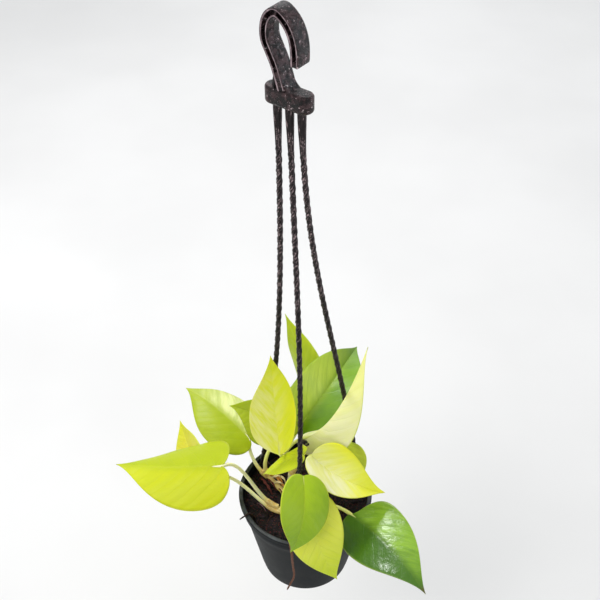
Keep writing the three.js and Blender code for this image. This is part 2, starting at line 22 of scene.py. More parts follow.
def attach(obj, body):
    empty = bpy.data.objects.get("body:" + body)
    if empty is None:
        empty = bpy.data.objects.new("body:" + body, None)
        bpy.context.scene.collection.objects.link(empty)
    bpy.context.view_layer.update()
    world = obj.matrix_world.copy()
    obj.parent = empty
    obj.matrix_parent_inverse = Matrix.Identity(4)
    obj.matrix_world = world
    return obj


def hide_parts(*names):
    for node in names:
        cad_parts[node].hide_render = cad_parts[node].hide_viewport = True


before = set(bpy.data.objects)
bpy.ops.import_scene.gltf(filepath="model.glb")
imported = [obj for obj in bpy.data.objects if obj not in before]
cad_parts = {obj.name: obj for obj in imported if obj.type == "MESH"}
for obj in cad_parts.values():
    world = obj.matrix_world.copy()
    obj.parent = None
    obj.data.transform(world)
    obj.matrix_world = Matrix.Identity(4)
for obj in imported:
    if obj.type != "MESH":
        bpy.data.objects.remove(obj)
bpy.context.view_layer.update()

LOG = logging.getLogger("pothos")
BODY = "root"
MM = 0.001
HANG_POINT = Vector((-14.5, 4.5, 549.0))

# The two shader groups
VEINS, GRAIN = "leaf_veins", "grain"
# Vertices of a seam that lie closer than this, in metres, become one
SEAM = 1e-7
# The same at a blade's notch and tip, where its rows run together
TIP_SEAM = 2e-6
# The surface map counts along a tube in steps of this many millimetres
MAP_STEP = 10
# How far light passes into a leaf or stem, in metres
LIGHT_REACH = 0.0015
# No route starts along this direction, so it gives each its first cross direction
OFF_AXIS = Vector((0.35, 0.2, 1))

Point = tuple[float, float, float]
Pair = tuple[float, float]
Colour = tuple[int, int, int]
Node = bpy.types.Node
NodeTree = bpy.types.NodeTree
Socket = bpy.types.NodeSocket
Material = bpy.types.Material
Object = bpy.types.Object
Mesh = bmesh.types.BMesh
Vert = bmesh.types.BMVert


def placed(point: Sequence[float]) -> Vector:
    """A point of the pot's frame, in metres in the part's frame."""
    return (Vector(point) - HANG_POINT) * MM


def linear(colour: Colour) -> tuple[float, float, float, float]:
    """A screen colour as a shader's linear colour."""
    parts = [c / 255 for c in colour]
    return (*[c / 12.92 if c < 0.04045 else ((c + 0.055) / 1.055) ** 2.4 for c in parts], 1.0)


def held_in(value: float) -> float:
    """The value, held between 0 and 1."""
    return min(1.0, max(0.0, value))


def smooth(low: float, high: float, value: float) -> float:
    """An even step from 0 at low to 1 at high."""
    share = held_in((value - low) / (high - low))
    return share * share * (3 - 2 * share)


def between(start: float, end: float, share: float) -> float:
    """The value at a share of the way from start to end."""
    return start + (end - start) * share


# ---------------------------------------------------------------------------- routes


def bezier(points: Sequence[Vector], share: float) -> Vector:
    """The point of a cubic curve.

    Args:
        points: Its two ends, with its two draw points between them.
        share: The share of its parameter, from 0 to 1.

    Returns:
        The point.
    """
    a, b, c, d = points
    rest = 1 - share
    return a * rest**3 + b * (3 * rest * rest * share) + c * (3 * rest * share * share) + d * share**3


def bezier_line(points: Sequence[Sequence[float]], count: int) -> list[Vector]:
    """Points along a cubic curve, from its first end to its last."""
    knots = [Vector(p) for p in points]
    return [bezier(knots, i / count) for i in range(count + 1)]


def spline_line(points: Sequence[Sequence[float]], count: int) -> list[Vector]:
    """Points along a smooth curve through the given ones, which never loops between them.

    Args:
        points: The points that the curve passes through.
        count: How many steps lie between two of them.

    Returns:
        The curve's points, from the first given point to the last.
    """
    knots = [Vector(p) for p in points]
    ends = [knots[0] * 2 - knots[1], *knots, knots[-1] * 2 - knots[-2]]
    line: list[Vector] = []
    for a, b, c, d in zip(ends, ends[1:], ends[2:], ends[3:]):
        t1 = math.sqrt((b - a).length)
        t2 = t1 + math.sqrt((c - b).length)
        t3 = t2 + math.sqrt((d - c).length)
        for i in range(count):
            t = between(t1, t2, i / count)
            ab = a * ((t1 - t) / t1) + b * (t / t1)
            bc = b * ((t2 - t) / (t2 - t1)) + c * ((t - t1) / (t2 - t1))
            cd = c * ((t3 - t) / (t3 - t2)) + d * ((t - t2) / (t3 - t2))
            near = ab * ((t2 - t) / t2) + bc * (t / t2)
            far = bc * ((t3 - t) / (t3 - t1)) + cd * ((t - t1) / (t3 - t1))
            line.append(near * ((t2 - t) / (t2 - t1)) + far * ((t - t1) / (t2 - t1)))
    line.append(knots[-1])
    return line


class Route:
    """A line in space that a tube follows, measured along its length."""

    def __init__(self, line: Sequence[Vector]) -> None:
        """Measures the line and carries a cross direction along it without twist.

        Args:
            line: The line's points, in millimetres.
        """
        self.line = [p.copy() for p in line]
        self.marks = [0.0]
        for a, b in zip(self.line, self.line[1:]):
            self.marks.append(self.marks[-1] + (b - a).length)
        self.length = self.marks[-1]
        along = (self.line[1] - self.line[0]).normalized()
        side = along.cross(OFF_AXIS).normalized()
        self.sides = []
        for i in range(len(self.line)):
            ahead = self.line[min(i + 1, len(self.line) - 1)]
            behind = self.line[max(i - 1, 0)]
            along = (ahead - behind).normalized()
            side = (side - along * side.dot(along)).normalized()
            self.sides.append((along, side))

    def at(self, distance: float) -> tuple[Vector, Vector, Vector]:
        """Where the line is at a distance along it.

        Args:
            distance: The distance from its start, in millimetres.

        Returns:
            The point, the direction of the line there, and a direction across it.
        """
        distance = min(max(distance, 0.0), self.length)
        low = min(bisect.bisect_right(self.marks, distance) - 1, len(self.marks) - 2)
        high = low + 1
        span = self.marks[high] - self.marks[low]
        share = (distance - self.marks[low]) / span if span else 0.0
        point = self.line[low].lerp(self.line[high], share)
        along = self.sides[low][0].lerp(self.sides[high][0], share).normalized()
        side = self.sides[low][1].lerp(self.sides[high][1], share)
        side = (side - along * side.dot(along)).normalized()
        return point, along, side

    def stretch(self, start: float, end: float, count: int = 60) -> "Route":
        """The part of the route between two distances along it."""
        return Route([self.at(between(start, end, i / count))[0] for i in range(count + 1)])


# ---------------------------------------------------------------------------- mesh making


def new_mesh() -> Mesh:
    """An empty mesh.

    Returns:
        The mesh, with the two maps that the materials read.
    """
    mesh = bmesh.new()
    mesh.loops.layers.uv.new("surface")
    mesh.loops.layers.uv.new("margin")
    return mesh


def close_ring(mesh: Mesh, ring: Sequence[Vert], material: int | None = None) -> None:
    """Closes the open end of a tube or band.

    Args:
        mesh: The mesh that has the open end.
        ring: The vertices round it, some of which a merge may have removed.
        material: The material slot of the new face, where it isn't its neighbours'.
    """
    alive = {v for v in ring if v.is_valid}
    edges = {e for v in alive for e in v.link_edges if e.is_boundary and e.other_vert(v) in alive}
    if len(edges) < 3:
        return
    filled = bmesh.ops.holes_fill(mesh, edges=list(edges), sides=0)
    if material is not None:
        for face in filled["faces"]:
            face.material_index = material


def add_tube(
    mesh: Mesh,
    route: Route,
    radius: Callable[[float, float], float],
    steps: int,
    sides: int,
    material: int = 0,
) -> None:
    """Adds a tube with closed ends to a mesh: a grid that is rolled up round a route.

    Args:
        mesh: The mesh that takes the tube.
        route: The line that the tube follows, in millimetres.
        radius: The radius at a distance along the route and a turn round it, in radians.
        steps: How many rings the tube has, less one.
        sides: How many faces go round it.
        material: The material slot of its faces.
    """
    surface = mesh.loops.layers.uv["surface"]
    made = bmesh.ops.create_grid(mesh, x_segments=sides, y_segments=steps, size=0.5)
    verts = made["verts"]
    shares = {v: (v.co.x + 0.5, v.co.y + 0.5) for v in verts}
    frames = [route.at(route.length * i / steps) for i in range(steps + 1)]
    ends: list[list[Vert]] = [[], []]
    for v, (around, along) in shares.items():
        step = round(along * steps)
        point, forward, side = frames[step]
        turn = 2 * math.pi * around
        out = side * math.cos(turn) + forward.cross(side) * math.sin(turn)
        v.co = placed(point + out * radius(route.length * along, turn))
        if step in (0, steps):
            ends[1 if step else 0].append(v)
    faces = {f for v in verts for f in v.link_faces}
    for face in faces:
        face.smooth = True
        face.material_index = material
        for loop in face.loops:
            around, along = shares[loop.vert]
            loop[surface].uv = (along * route.length / MAP_STEP, around)
    seam = [v for v, (around, _) in shares.items() if around < 1e-6 or around > 1 - 1e-6]
    bmesh.ops.remove_doubles(mesh, verts=seam, dist=SEAM)
    bmesh.ops.recalc_face_normals(mesh, faces=[f for f in faces if f.is_valid])
    for ring in ends:
        close_ring(mesh, ring, material)


def add_lathe(
    mesh: Mesh, profile: Sequence[Pair], steps: int, material: int = 0
) -> list[Vert]:
    """Turns a profile of radius and height round the pot's axis.

    Args:
        mesh: The mesh that takes the turned form.
        profile: Its points, from the axis round to the axis, or round a ring.
        steps: How many faces go round.
        material: The material slot of its faces.

    Returns:
        The vertices of the turned form.
    """
    before = set(mesh.verts)
    verts = [mesh.verts.new(placed((r, 0, z))) for r, z in profile]
    edges = [mesh.edges.new(pair) for pair in zip(verts, verts[1:])]
    bmesh.ops.spin(
        mesh, geom=verts + edges, cent=placed((0, 0, 0)), axis=(0, 0, 1), angle=2 * math.pi,
        steps=steps, use_merge=True,
    )
    made = [v for v in mesh.verts if v not in before]
    bmesh.ops.remove_doubles(mesh, verts=made, dist=SEAM)
    made = [v for v in made if v.is_valid]
    faces = list({f for v in made for f in v.link_faces})
    bmesh.ops.recalc_face_normals(mesh, faces=faces)
    for face in faces:
        face.smooth = True
        face.material_index = material
    return made


def new_object(name: str, mesh: Mesh) -> Object:
    """Turns a mesh into an object of the scene.

    Args:
        name: The object's name.
        mesh: Its mesh, which is freed.

    Returns:
        The object.
    """
    data = bpy.data.meshes.new(name)
    mesh.to_mesh(data)
    mesh.free()
    made = bpy.data.objects.new(name, data)
    bpy.context.scene.collection.objects.link(made)
    return made


def finish_piece(
    name: str,
    mesh: Mesh,
    materials: Sequence[Material],
    nodes: Sequence[str],
) -> Object:
    """Turns a mesh into a piece that rides on the part and stands for its solids.

    Args:
        name: The piece's name.
        mesh: Its mesh, which is freed.
        materials: Its materials, in the order of the mesh's material slots.
        nodes: The solids that it stands for.

    Returns:
        The piece.
    """
    piece = new_object(name, mesh)
    for material in materials:
        piece.data.materials.append(material)
    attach(piece, BODY)
    if nodes:
        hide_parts(*nodes)
    LOG.info("%s: %d faces", name, len(piece.data.polygons))
    return piece


def cut_away(piece: Object, cutter: Mesh) -> None:
    """Cuts a closed form out of a piece and keeps the result in the piece's mesh.

    Args:
        piece: The piece.
        cutter: The form that is cut away, which is freed.
    """
    tool = new_object("cutter", cutter)
    cut = piece.modifiers.new("cut", "BOOLEAN")
    cut.operation = "DIFFERENCE"
    cut.solver = "EXACT"
    cut.object = tool
    graph = bpy.context.evaluated_depsgraph_get()
    made = bpy.data.meshes.new_from_object(piece.evaluated_get(graph))
    piece.modifiers.remove(cut)
    used = (piece.data, tool.data)
    piece.data = made
    made.name = piece.name
    bpy.data.objects.remove(tool)
    for data in used:
        bpy.data.meshes.remove(data)


def soften(piece: Object, crease: float) -> None:
    """Shades a piece smoothly, but for its creases.

    Args:
        piece: The piece.
        crease: The least angle of an edge that stays sharp, in degrees.
    """
    for face in piece.data.polygons:
        face.use_smooth = True
    piece.data.set_sharp_from_angle(angle=math.radians(crease))


# ---------------------------------------------------------------------------- shader nodes


class Nodes:
    """Adds shader nodes to a material or a group and links them."""

    def __init__(self, tree: NodeTree) -> None:
        """Keeps the node tree that takes the nodes."""
        self.tree = tree

    def add(self, kind: str, **inputs: object) -> Node:
        """Adds a node.

        Args:
            kind: Its type.
            inputs: What its inputs are set or linked to, by name, with _ for a space.

        Returns:
            The node.
        """
        node = self.tree.nodes.new(kind)
        self.feed_all(node, inputs)
        return node

    def feed(self, socket: Socket, value: object) -> None:
        """Links an output to a socket, or sets the socket's own value.

        Args:
            socket: The input that is fed.
            value: An output of another node, or a plain value.
        """
        if isinstance(value, Socket):
            self.tree.links.new(value, socket)
        else:
            socket.default_value = value

    def feed_all(self, node: Node, inputs: dict[str, object]) -> None:
        """Feeds a node's inputs by name, with _ for a space."""
        for name, value in inputs.items():
            self.feed(node.inputs[name.replace("_", " ")], value)

    def maths(self, operation: str, *values: object, clamp: bool = False) -> Socket:
        """The result of a Math node.

        Args:
            operation: What it works out.
            values: Its inputs in order.
            clamp: Whether the result is kept between 0 and 1.

        Returns:
            The result.
        """
        node = self.tree.nodes.new("ShaderNodeMath")
        node.operation = operation
        node.use_clamp = clamp
        for socket, value in zip(node.inputs, values):
            self.feed(socket, value)
        return node.outputs[0]

    def ramp(self, value: object, low: float, high: float, start: float = 0, end: float = 1) -> Socket:
        """A smooth step.

        Args:
            value: The input.
            low: The input where the step begins.
            high: The input where it ends.
            start: The result up to low.
            end: The result from high on.

        Returns:
            The result.
        """
        node = self.tree.nodes.new("ShaderNodeMapRange")
        node.interpolation_type = "SMOOTHSTEP"
        for socket, number in zip(node.inputs, (value, low, high, start, end)):
            self.feed(socket, number)
        return node.outputs[0]

    def mix(self, share: object, first: object, second: object) -> Socket:
        """A colour between two colours.

        Args:
            share: The share of the second colour.
            first: The first colour.
            second: The second colour.

        Returns:
            The colour.
        """
        node = self.tree.nodes.new("ShaderNodeMix")
        node.data_type = "RGBA"
        self.feed(node.inputs["Factor"], share)
        self.feed(node.inputs["A"], first)
        self.feed(node.inputs["B"], second)
        return node.outputs["Result"]

    def tinted(self, colour: object, mask: object, amount: float, tint: Colour) -> Socket:
        """A colour with a tint over it, as strong as a mask times an amount."""
        return self.mix(self.maths("MULTIPLY", mask, amount), colour, linear(tint))

    def noise(self, vector: object, scale: object, detail: float = 3, rough: float = 0.5) -> Socket:
        """The value of a noise texture.

        Args:
            vector: The coordinates that it reads.
            scale: How fine it is.
            detail: How many finer layers it has.
            rough: How strong the finer layers are.

        Returns:
            The value.
        """
        node = self.add("ShaderNodeTexNoise", Vector=vector, Scale=scale, Detail=detail, Roughness=rough)
        return node.outputs["Fac"]

    def group(self, name: str, **inputs: object) -> Node:
        """Adds a shader group.

        Args:
            name: The group's name.
            inputs: What its inputs are set or linked to, by name, with _ for a space.

        Returns:
            The group's node.
        """
        node = self.tree.nodes.new("ShaderNodeGroup")
        node.node_tree = bpy.data.node_groups[name]
        self.feed_all(node, inputs)
        return node


class Surface(Nodes):
    """A material's nodes round its Principled shader."""

    def __init__(self, name: str) -> None:
        """Makes a plain material with a shader and the piece's coordinates.

        Args:
            name: The material's name.
        """
        self.material = bpy.data.materials.new(name)
        self.material.use_nodes = True
        super().__init__(self.material.node_tree)
        self.shader = self.tree.nodes["Principled BSDF"]
        self.place = self.add("ShaderNodeTexCoord").outputs["Object"]

    def map(self, name: str) -> Socket:
        """One of the mesh's own maps.

        Args:
            name: The map's name.

        Returns:
            Its coordinates.
        """
        node = self.tree.nodes.new("ShaderNodeUVMap")
        node.uv_map = name
        return node.outputs[0]

    def split(self, name: str) -> tuple[Socket, Socket]:
        """The two coordinates of one of the mesh's own maps."""
        parts = self.add("ShaderNodeSeparateXYZ", Vector=self.map(name)).outputs
        return parts["X"], parts["Y"]

    def set(self, **inputs: object) -> None:
        """Sets or links inputs of the shader by name, with _ for a space."""
        self.feed_all(self.shader, inputs)

    def uneven(self, scale: float) -> Node:
        """The grain group on this surface, at a scale."""
        return self.group(GRAIN, Place=self.place, Scale=scale)

    def let_light_in(self, weight: float, shares: tuple[float, float, float]) -> None:
        """Lets red, green and blue light pass their shares of LIGHT_REACH into a leaf or stem."""
        self.set(Subsurface_Weight=weight, Subsurface_Radius=shares, Subsurface_Scale=LIGHT_REACH)

    def roughness(self, middle: float, lines: Socket) -> Socket:
        """A waxy roughness that is uneven, and duller along the veins."""
        uneven = self.maths("MULTIPLY_ADD", self.noise(self.place, 60, 3), 0.16, middle - 0.08)
        return self.maths("MULTIPLY_ADD", lines, 0.06, uneven)

    def bump(self, height: object, depth: float, strength: float = 1.0, normal: object = None) -> Socket:
        """Roughens the surface.

        Args:
            height: How high each spot is, from 0 to 1.
            depth: The height of 1, in millimetres.
            strength: How strong the effect is.
            normal: The normal of a coarser bump that this one lies on.

        Returns:
            The roughened normal.
        """
        node = self.add("ShaderNodeBump", Strength=strength, Distance=depth * MM, Height=height)
        if normal is not None:
            self.feed(node.inputs["Normal"], normal)
        return node.outputs[0]


def new_group(
    name: str, takes: Sequence[str], gives: Sequence[str]
) -> tuple[Nodes, Node, Node]:
    """Makes a shader group whose inputs and outputs are plain values.

    Args:
        name: The group's name.
        takes: The names of its inputs. One that ends in "Place" is a vector.
        gives: The names of its outputs.

    Returns:
        The group's nodes, and its input and output nodes.
    """
    tree = bpy.data.node_groups.new(name, "ShaderNodeTree")
    for label in takes:
        kind = "NodeSocketVector" if label.endswith("Place") else "NodeSocketFloat"
        tree.interface.new_socket(label, in_out="INPUT", socket_type=kind)
    for label in gives:
        tree.interface.new_socket(label, in_out="OUTPUT", socket_type="NodeSocketFloat")
    return Nodes(tree), tree.nodes.new("NodeGroupInput"), tree.nodes.new("NodeGroupOutput")


def add_vein_group() -> None:
    """Makes the group that draws a blade's veins, which curve on towards the tip.

    It reads the blade's map and gives masks of the midrib, the side veins, the fine veins and the
    cells between them, and streaks that follow the veins.
    """
    nodes, given, out = new_group(
        VEINS, ["Along", "Across", "Count"], ["Rib", "Veins", "Fine", "Quilt", "Streak"]
    )
    along, across, count = (given.outputs[n] for n in ("Along", "Across", "Count"))
    away = nodes.maths("ABSOLUTE", across)
    hand = nodes.maths("GREATER_THAN", across, 0.0)
    place = nodes.add("ShaderNodeCombineXYZ", X=along, Y=across, Z=0.0).outputs[0]
    wobble = nodes.maths("MULTIPLY_ADD", nodes.noise(place, 3.2, 2), 0.05, -0.025)
    lean = nodes.maths("MULTIPLY_ADD", along, 0.10, 0.22)
    bow = nodes.maths("MULTIPLY", nodes.maths("MULTIPLY", away, away), 0.13)
    shift = nodes.maths("MULTIPLY_ADD", away, lean, bow)
    start = nodes.maths("ADD", nodes.maths("SUBTRACT", along, shift), wobble)
    offset = nodes.maths("MULTIPLY_ADD", hand, 0.45, 0.2)
    turns = nodes.maths("ADD", nodes.maths("MULTIPLY", start, count), offset)

    def ridge(value: object, sharp: float) -> Socket:
        """A line wherever the value passes a whole number."""
        near = nodes.maths("ABSOLUTE", nodes.maths("SUBTRACT", nodes.maths("FRACT", value), 0.5))
        return nodes.ramp(near, sharp, 0.5)

    rib_width = nodes.maths("MULTIPLY_ADD", along, -0.028, 0.045)
    rib = nodes.maths("SUBTRACT", 1.0, nodes.ramp(nodes.maths("DIVIDE", away, rib_width), 0.35, 1.4))
    fade = nodes.ramp(away, 0.35, 1.0, 1.0, 0.15)
    veins = nodes.maths("MULTIPLY", ridge(turns, 0.40), fade)
    fine = nodes.maths("MULTIPLY", ridge(nodes.maths("MULTIPLY", turns, 5.0), 0.25), fade)
    swell = nodes.maths("SUBTRACT", 1.0, ridge(turns, 0.0))
    quilt = nodes.maths("MULTIPLY", swell, nodes.ramp(away, 0.0, 0.12))
    flow = nodes.add("ShaderNodeCombineXYZ", X=nodes.maths("MULTIPLY", start, 9.0), Y=away, Z=hand)
    streak = nodes.noise(flow.outputs[0], 1.3, 3, 0.6)
    nodes.feed_all(out, {"Rib": rib, "Veins": veins, "Fine": fine, "Quilt": quilt, "Streak": streak})


def add_grain_group() -> None:
    """Makes the group of a moulded or dried surface's grain.

    It reads coordinates and a scale, and gives a broad noise, a fine noise and their sum.
    """
    nodes, given, out = new_group(GRAIN, ["Place", "Scale"], ["Broad", "Fine", "Height"])
    place, scale = given.outputs["Place"], given.outputs["Scale"]
    broad = nodes.noise(place, scale, 4.0, 0.6)
    fine = nodes.noise(place, nodes.maths("MULTIPLY", scale, 14.0), 2.0)
    nodes.feed_all(out, {"Broad": broad, "Fine": fine, "Height": nodes.maths("ADD", broad, fine)})


# ---------------------------------------------------------------------------- finishes


class PaleOrLitHalf(Enum):
    """Which half of a blade is paler, seen from its base towards its tip. On some blades that is
    variegation, on others painted light on the lit half or a painted highlight, as each finish says.
    """

    LEFT = -1
    NONE = 0
    RIGHT = 1


@dataclass(frozen=True)
class LeafFinish:
    """The colours and gloss of one blade.

    blade and deep cloud its upper face, pale streaks it on pale_or_lit_half, and under is its underside.
    The pale colour is variegation on some finishes and painted light on others: a painted highlight,
    or a painted lit half, as each finish says.
    pale_end is where the streaks fade out, as a share of the blade's length, pale_even is how pale
    it is between them, and half_edge is where across the blade they begin and are full.
    """

    blade: Colour
    deep: Colour
    pale: Colour
    under: Colour
    margin: Colour
    vein: Colour
    pale_or_lit_half: PaleOrLitHalf = PaleOrLitHalf.NONE
    pale_amount: float = 0.15
    pale_even: float = 0.55
    half_edge: Pair = (-0.08, 0.2)
    pale_end: float = 1.0
    tip_shade: float = 0.0
    margin_amount: float = 0.3
    vein_amount: float = 0.15
    rib_amount: float = 0.12
    vein_count: float = 8.0
    gloss: float = 0.4
    sheen: float = 0.3
    quilt: float = 0.14
    pucker: float = 0.12
    dry_tip: float = 0.0
    dry: Colour = (92, 74, 40)
    fine_share: float = 0.35
    under_gloss: float = 0.5

    def upper(self, name: str) -> Material:
        """The finish of the blade's upper face.

        Args:
            name: The material's name.

        Returns:
            The material.
        """
        look = Surface(name)
        along, across = look.split("surface")
        to_margin, _ = look.split("margin")
        lines = look.group(VEINS, Along=along, Across=across, Count=self.vein_count).outputs
        cloud = look.ramp(look.noise(look.place, 34, 3), 0.35, 0.7, 0.0, 0.7)
        shade = look.maths("MULTIPLY", look.ramp(along, 0.1, 0.85), self.tip_shade)
        colour = look.mix(look.maths("MAXIMUM", cloud, shade), linear(self.blade), linear(self.deep))
        # The pale colour: variegation on some finishes, painted light (a painted highlight or a painted
        # lit half) on others, as each finish says.
        colour = look.mix(self.pale_or_highlight_mask(look, lines["Streak"], along, across), colour, linear(self.pale))
        colour = look.tinted(colour, lines["Fine"], self.vein_amount * self.fine_share, self.vein)
        colour = look.tinted(colour, lines["Veins"], self.vein_amount, self.vein)
        colour = look.tinted(colour, lines["Rib"], self.rib_amount, self.margin)
        edge = look.ramp(to_margin, 0.945, 0.995, 0.0, self.margin_amount)
        colour = look.mix(edge, colour, linear(self.margin))
        if self.dry_tip:
            colour = look.tinted(colour, look.ramp(along, 0.90, 0.99), self.dry_tip, self.dry)
        look.set(Base_Color=colour, Roughness=look.roughness(self.gloss, lines["Veins"]))
        return self.relief(look, lines, -1.0)

    def pale_or_highlight_mask(self, look: Surface, streak: object, along: object, across: object) -> Socket:
        """How pale the blade is: soft streaks that follow the veins, on one half or on both. On some
        finishes this paleness is variegation, on others painted light: a painted highlight or a painted
        lit half, as each finish says.

        Args:
            look: The material's nodes.
            streak: The streaks of the vein group.
            along: The place along the blade, from its base at 0 to its tip at 1.
            across: The place across it, from -1 to 1.

        Returns:
            The share of the pale colour.
        """
        fade = look.ramp(along, 0.45 * self.pale_end, self.pale_end, 1.0, 0.1)
        mask = look.maths("MULTIPLY", look.ramp(streak, 0.36, 0.62, self.pale_even, 1.0), fade)
        if self.pale_or_lit_half is not PaleOrLitHalf.NONE:
            signed = look.maths("MULTIPLY", across, float(self.pale_or_lit_half.value))
            mask = look.maths("MULTIPLY", mask, look.ramp(signed, *self.half_edge))
        return look.maths("MULTIPLY", mask, self.pale_amount, clamp=True)

    def lower(self, name: str) -> Material:
        """The finish of the blade's underside, which is paler and less glossy.

        Args:
            name: The material's name.

        Returns:
            The material.
        """
        look = Surface(name)
        along, across = look.split("surface")
        lines = look.group(VEINS, Along=along, Across=across, Count=self.vein_count).outputs
        cloud = look.ramp(look.noise(look.place, 30, 3), 0.3, 0.75, 0.0, 0.45)
        colour = look.mix(cloud, linear(self.under), linear(self.blade))
        colour = look.tinted(colour, lines["Veins"], self.vein_amount * 0.8, self.vein)
        colour = look.tinted(colour, lines["Rib"], 0.6, self.margin)
        look.set(Base_Color=colour, Roughness=look.roughness(self.under_gloss, lines["Veins"]))
        return self.relief(look, lines, 1.0)

    def relief(self, look: Surface, lines: object, way: float) -> Material:
        """Gives a face its veins, its cells and the light that passes through it.

        Args:
            look: The material's nodes.
            lines: The vein group's outputs.
            way: 1 where the veins stand out of the face, and -1 where they are sunk in it.

        Returns:
            The material.
        """
        depth = look.maths("MULTIPLY_ADD", lines["Veins"], way * 0.7, lines["Quilt"])
        depth = look.maths("MULTIPLY_ADD", lines["Rib"], way * 0.5, depth)
        depth = look.maths("MULTIPLY_ADD", lines["Fine"], way * 0.12, depth)
        veined = look.bump(depth, self.quilt)
        puckered = look.bump(look.noise(look.place, 190, 3, 0.6), self.pucker, normal=veined)
        cells = look.bump(look.noise(look.place, 900, 2), 0.05, 0.35, puckered)
        look.set(Normal=cells, Specular_IOR_Level=self.sheen)
        look.let_light_in(0.2, (0.8, 1.0, 0.1))
        return look.material


@dataclass(frozen=True)
class Plastic:
    """A moulded plastic with a fine grain, dull patches and, on some pieces, pale specks that are painted
    glints.
    """

    colour: Colour
    dull: Colour
    rough: float
    depth: float
    sheen: float = 0.4
    glint_speck: Colour | None = None
    patch_scale: float = 55.0

    def material(self, name: str) -> Material:
        """The finish of a moulding.

        Args:
            name: The material's name.

        Returns:
            The material.
        """
        look = Surface(name)
        uneven = look.uneven(self.patch_scale).outputs
        patches = look.ramp(uneven["Broad"], 0.4, 0.68)
        scratches = look.ramp(uneven["Fine"], 0.62, 0.8, 0.0, 0.5)
        colour = look.mix(patches, linear(self.colour), linear(self.dull))
        colour = look.mix(scratches, colour, linear(self.dull))
        if self.glint_speck:
            # Painted highlight: the pale specks stand for glints of light on the plastic.
            specks = look.ramp(look.noise(look.place, 480, 3, 0.65), 0.61, 0.7, 0.0, 0.8)
            colour = look.mix(specks, colour, linear(self.glint_speck))
        look.set(
            Base_Color=colour,
            Roughness=look.maths("MULTIPLY_ADD", uneven["Broad"], 0.25, self.rough - 0.12),
            Normal=look.bump(uneven["Height"], self.depth),
            Specular_IOR_Level=self.sheen,
        )
        return look.material


@dataclass(frozen=True)
class TwistedPlastic:
    """A strand's plastic, with painted highlights in wisps that run down its grooved top and then wind
    round it.
    """

    colour: Colour
    dull: Colour
    wisp_highlight: Colour
    groove_length: float = 39.0
    turn_length: float = 18.0
    rough: float = 0.18
    depth: float = 0.5
    sheen: float = 0.2

    def material(self, name: str) -> Material:
        """The finish of a strand.

        Args:
            name: The material's name.

        Returns:
            The material.
        """
        look = Surface(name)
        down, around = look.split("surface")
        past_groove = look.maths("SUBTRACT", down, self.groove_length / MAP_STEP)
        past_groove = look.maths("MAXIMUM", past_groove, 0.0)
        wound = look.maths("MULTIPLY_ADD", past_groove, -MAP_STEP / self.turn_length, around)
        circle = look.maths("MULTIPLY", wound, 2 * math.pi)
        drawn_out = look.maths("MULTIPLY_ADD", past_groove, 0.55, look.maths("MULTIPLY", down, 0.35))
        way = look.add(
            "ShaderNodeCombineXYZ",
            X=look.maths("COSINE", circle),
            Y=look.maths("SINE", circle),
            Z=drawn_out,
        ).outputs[0]
        wisps = look.noise(way, 2.6, 3, 0.65)
        specks = look.noise(look.place, 700, 2, 0.6)
        # The painted highlights and the dull wisps grow fainter further down the strand.
        fade = look.ramp(down, 8.0, 28.0, 1.0, 0.3)
        # Painted highlight: the pale wisp colour stands for light caught on the strand's twist.
        light = look.maths("MULTIPLY", look.ramp(wisps, 0.5, 0.64), look.ramp(specks, 0.38, 0.6))
        light = look.maths("MULTIPLY", light, fade)
        dull = look.maths("MULTIPLY", look.ramp(wisps, 0.3, 0.55), fade)
        colour = look.mix(dull, linear(self.colour), linear(self.dull))
        look.set(
            Base_Color=look.tinted(colour, light, 0.85, self.wisp_highlight),
            Roughness=look.maths("MULTIPLY_ADD", wisps, 0.3, self.rough),
            Normal=look.bump(look.maths("ADD", wisps, specks), self.depth),
            Specular_IOR_Level=self.sheen,
        )
        return look.material


@dataclass(frozen=True)
class DryFibre:
    """A dry brown root, coir fibre or papery sheath."""

    colour: Colour
    light: Colour
    depth: float = 0.15

    def material(self, name: str) -> Material:
        """The finish of a fibre, with streaks along it.

        Args:
            name: The material's name.

        Returns:
            The material.
        """
        look = Surface(name)
        uneven = look.uneven(220.0).outputs
        stretched = look.add("ShaderNodeMapping", Vector=look.map("surface"), Scale=(1.2, 9.0, 1.0))
        streak = look.ramp(look.noise(stretched.outputs[0], 2.5, 4, 0.65), 0.35, 0.68)
        colour = look.mix(streak, linear(self.colour), linear(self.light))
        colour = look.mix(look.ramp(uneven["Fine"], 0.5, 0.75, 0.0, 0.6), colour, linear(self.colour))
        look.set(
            Base_Color=colour,
            Roughness=look.maths("MULTIPLY_ADD", uneven["Broad"], 0.2, 0.62),
            Normal=look.bump(look.maths("ADD", streak, uneven["Fine"]), self.depth),
        )
        return look.material


@dataclass(frozen=True)
class FleshyStem:
    """A fleshy petiole or stem whose colour turns from low to high over its reach."""

    low: Colour
    high: Colour
    reach: float

    def material(self, name: str) -> Material:
        """The finish of a stem or petiole.

        Args:
            name: The material's name.

        Returns:
            The material.
        """
        look = Surface(name)
        along, _ = look.split("surface")
        uneven = look.uneven(130.0).outputs
        stretched = look.add("ShaderNodeMapping", Vector=look.map("surface"), Scale=(0.35, 14.0, 1.0))
        streak = look.noise(stretched.outputs[0], 1.6, 3, 0.6)
        rise = look.maths("MULTIPLY_ADD", uneven["Broad"], 0.5, along)
        colour = look.mix(look.ramp(rise, 0.2, self.reach / MAP_STEP), linear(self.low), linear(self.high))
        darker = look.mix(0.25, colour, linear(self.low))
        colour = look.mix(look.ramp(streak, 0.45, 0.7, 0.0, 0.5), colour, darker)
        look.set(
            Base_Color=colour,
            Roughness=look.maths("MULTIPLY_ADD", uneven["Fine"], 0.12, 0.36),
            Normal=look.bump(look.maths("ADD", streak, uneven["Fine"]), 0.12),
        )
        look.let_light_in(0.25, (0.9, 0.8, 0.3))
        return look.material


